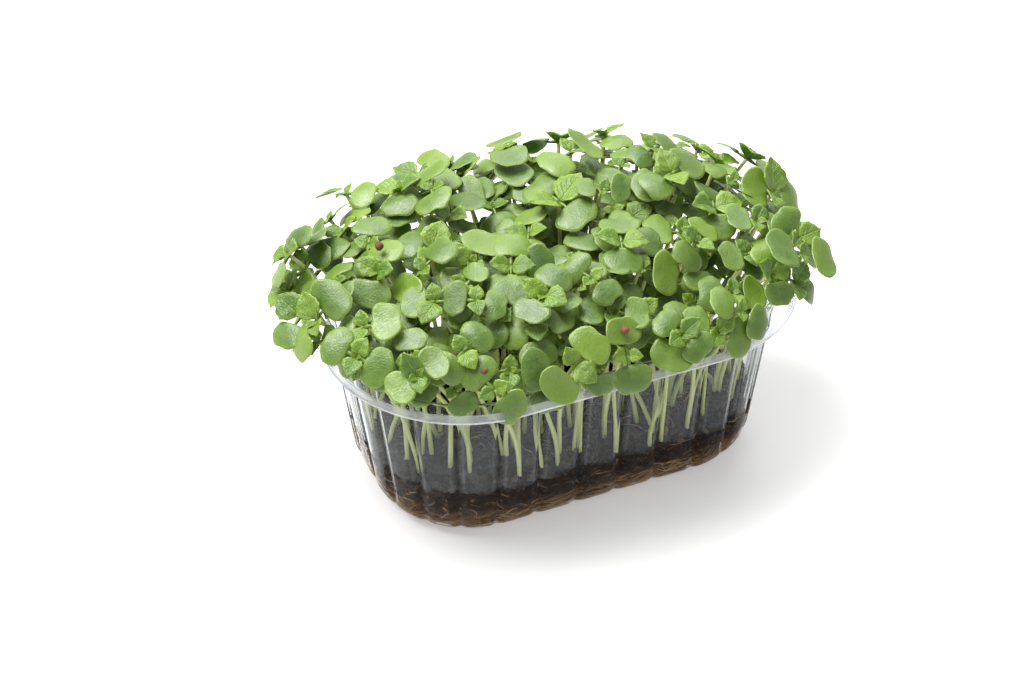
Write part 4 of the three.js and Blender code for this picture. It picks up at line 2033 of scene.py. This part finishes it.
    def rest(self, clumps: list[Clump], finishes: list[bpy.types.Material]) -> None:
        """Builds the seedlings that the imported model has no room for, some to a piece.

        Args:
            clumps: their clumps.
            finishes: materials in the order of Tissue.
        """
        draw = random.Random(self.seed)
        LOG.info("%d more seedlings", len(clumps))
        for start in range(0, len(clumps), self.per_piece):
            mesh = PieceMesh()
            for clump in clumps[start:start + self.per_piece]:
                for head in clump.heads:
                    # These lower seedlings pass a lower tone ceiling, so their seed leaves are darker:
                    # painted shade.
                    self.add_seedling(mesh, head, self.shaded_fill_tone, draw)
            settle(mesh.build(f"more_sprouts_{start // self.per_piece + 1:02d}", finishes), Slot.GREENS)


@dataclass
class SeedHulls:
    """Shed hulls that lie on leaves."""

    count: int = 3
    seed: int = 3

    def build(self) -> None:
        """Models and dresses the hulls."""
        draw = random.Random(self.seed)
        finish = HullFinish().make()
        Hand.start()
        bpy.ops.mesh.primitive_uv_sphere_add(segments=14, ring_count=9, radius=1)
        Hand.edit()
        bpy.ops.transform.vertex_random(offset=0.05, seed=2)
        pattern = Hand.lift_pattern()
        for number in range(1, self.count + 1):
            low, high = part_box(f"seed_hull_{number}")
            middle = (np.array(low) + np.array(high)) / 2 / MM
            half = (np.array(high) - np.array(low)) / 2 / MM
            x, y, z = pattern.points.T
            taper = 1 - 0.22 * x
            crease = 1 - 0.25 * np.exp(-((y / 0.25) ** 2)) * (z > 0)
            points = middle + np.column_stack((x, y * taper, z * taper * crease)) * half
            mesh = PieceMesh()
            mesh.add(points, pattern, 0, draw.random())
            settle(mesh.build(f"shed_hull_{number}", [finish]), Slot.HULL, f"seed_hull_{number}")


@dataclass
class Studio:
    """Floor, lights and camera. Sizes are in metres."""

    azimuth: float = math.radians(-23.47)
    elevation: float = math.radians(38.46)
    distance: float = 0.5213
    aim: tuple[float, float, float] = (0, 0, 0.021)
    lens: float = 81.95
    sensor: float = 36
    shift: tuple[float, float] = (-0.039, 0.0176)
    nearest: float = 0.01
    floor_size: float = 6
    sky: float = 0.53
    lamp_aim: tuple[float, float, float] = (0, 0, 0.04)
    lamps: tuple[tuple[str, tuple[float, float, float], float, float], ...] = (
        ("key_lamp", (-0.3, 0.25, 0.9), 0.6, 16.5), ("back_lamp", (0.4, 0.6, 0.6), 0.6, 4))

    def back(self) -> Vector:
        """Gives the direction from the object to the camera.

        Returns:
            A unit vector.
        """
        flat, up = math.cos(self.elevation), math.sin(self.elevation)
        return Vector((math.sin(self.azimuth) * flat, -math.cos(self.azimuth) * flat, up))

    def floor(self) -> None:
        """Lays the floor."""
        Hand.start()
        bpy.ops.mesh.primitive_plane_add(size=self.floor_size)
        floor = bpy.context.object
        floor.name = "floor"
        floor.data.materials.append(FloorFinish().make())

    def lamp(self, name: str, place: tuple[float, float, float], size: float, power: float) -> None:
        """Hangs a soft lamp that points at the object.

        Args:
            name: its name.
            place: its place.
            size: its width.
            power: its power in watts.
        """
        bpy.ops.object.light_add(type="AREA", location=place)
        lamp = bpy.context.object
        lamp.name = name
        lamp.data.size, lamp.data.energy = size, power
        aim = Vector(self.lamp_aim) - Vector(place)
        lamp.rotation_euler = aim.to_track_quat("-Z", "Y").to_euler()

    def build(self) -> None:
        """Sets the stage."""
        self.floor()
        world = bpy.data.worlds.new("studio")
        world.use_nodes = True
        sky = world.node_tree.nodes["Background"]
        sky.inputs["Color"].default_value = (1, 1, 1, 1)
        sky.inputs["Strength"].default_value = self.sky
        bpy.context.scene.world = world
        for lamp in self.lamps:
            self.lamp(*lamp)
        bpy.ops.object.camera_add(location=Vector(self.aim) + self.back() * self.distance)
        camera = bpy.context.object
        camera.rotation_euler = (-self.back()).to_track_quat("-Z", "Y").to_euler()
        camera.data.lens, camera.data.sensor_width = self.lens, self.sensor
        camera.data.shift_x, camera.data.shift_y = self.shift
        camera.data.clip_start = self.nearest
        bpy.context.scene.camera = camera
        bpy.context.scene.view_settings.view_transform = "Standard"


def main() -> None:
    """Builds the object and its stage."""
    logging.basicConfig(level=logging.INFO)
    tray = Tray()
    tray.build()
    tray.mist()
    soil = Soil(tray)
    soil.build()
    Litter(soil).build()
    Seedlings(Growth(tray)).build()
    SeedHulls().build()
    Studio().build()


if __name__ == "__main__":
    main()
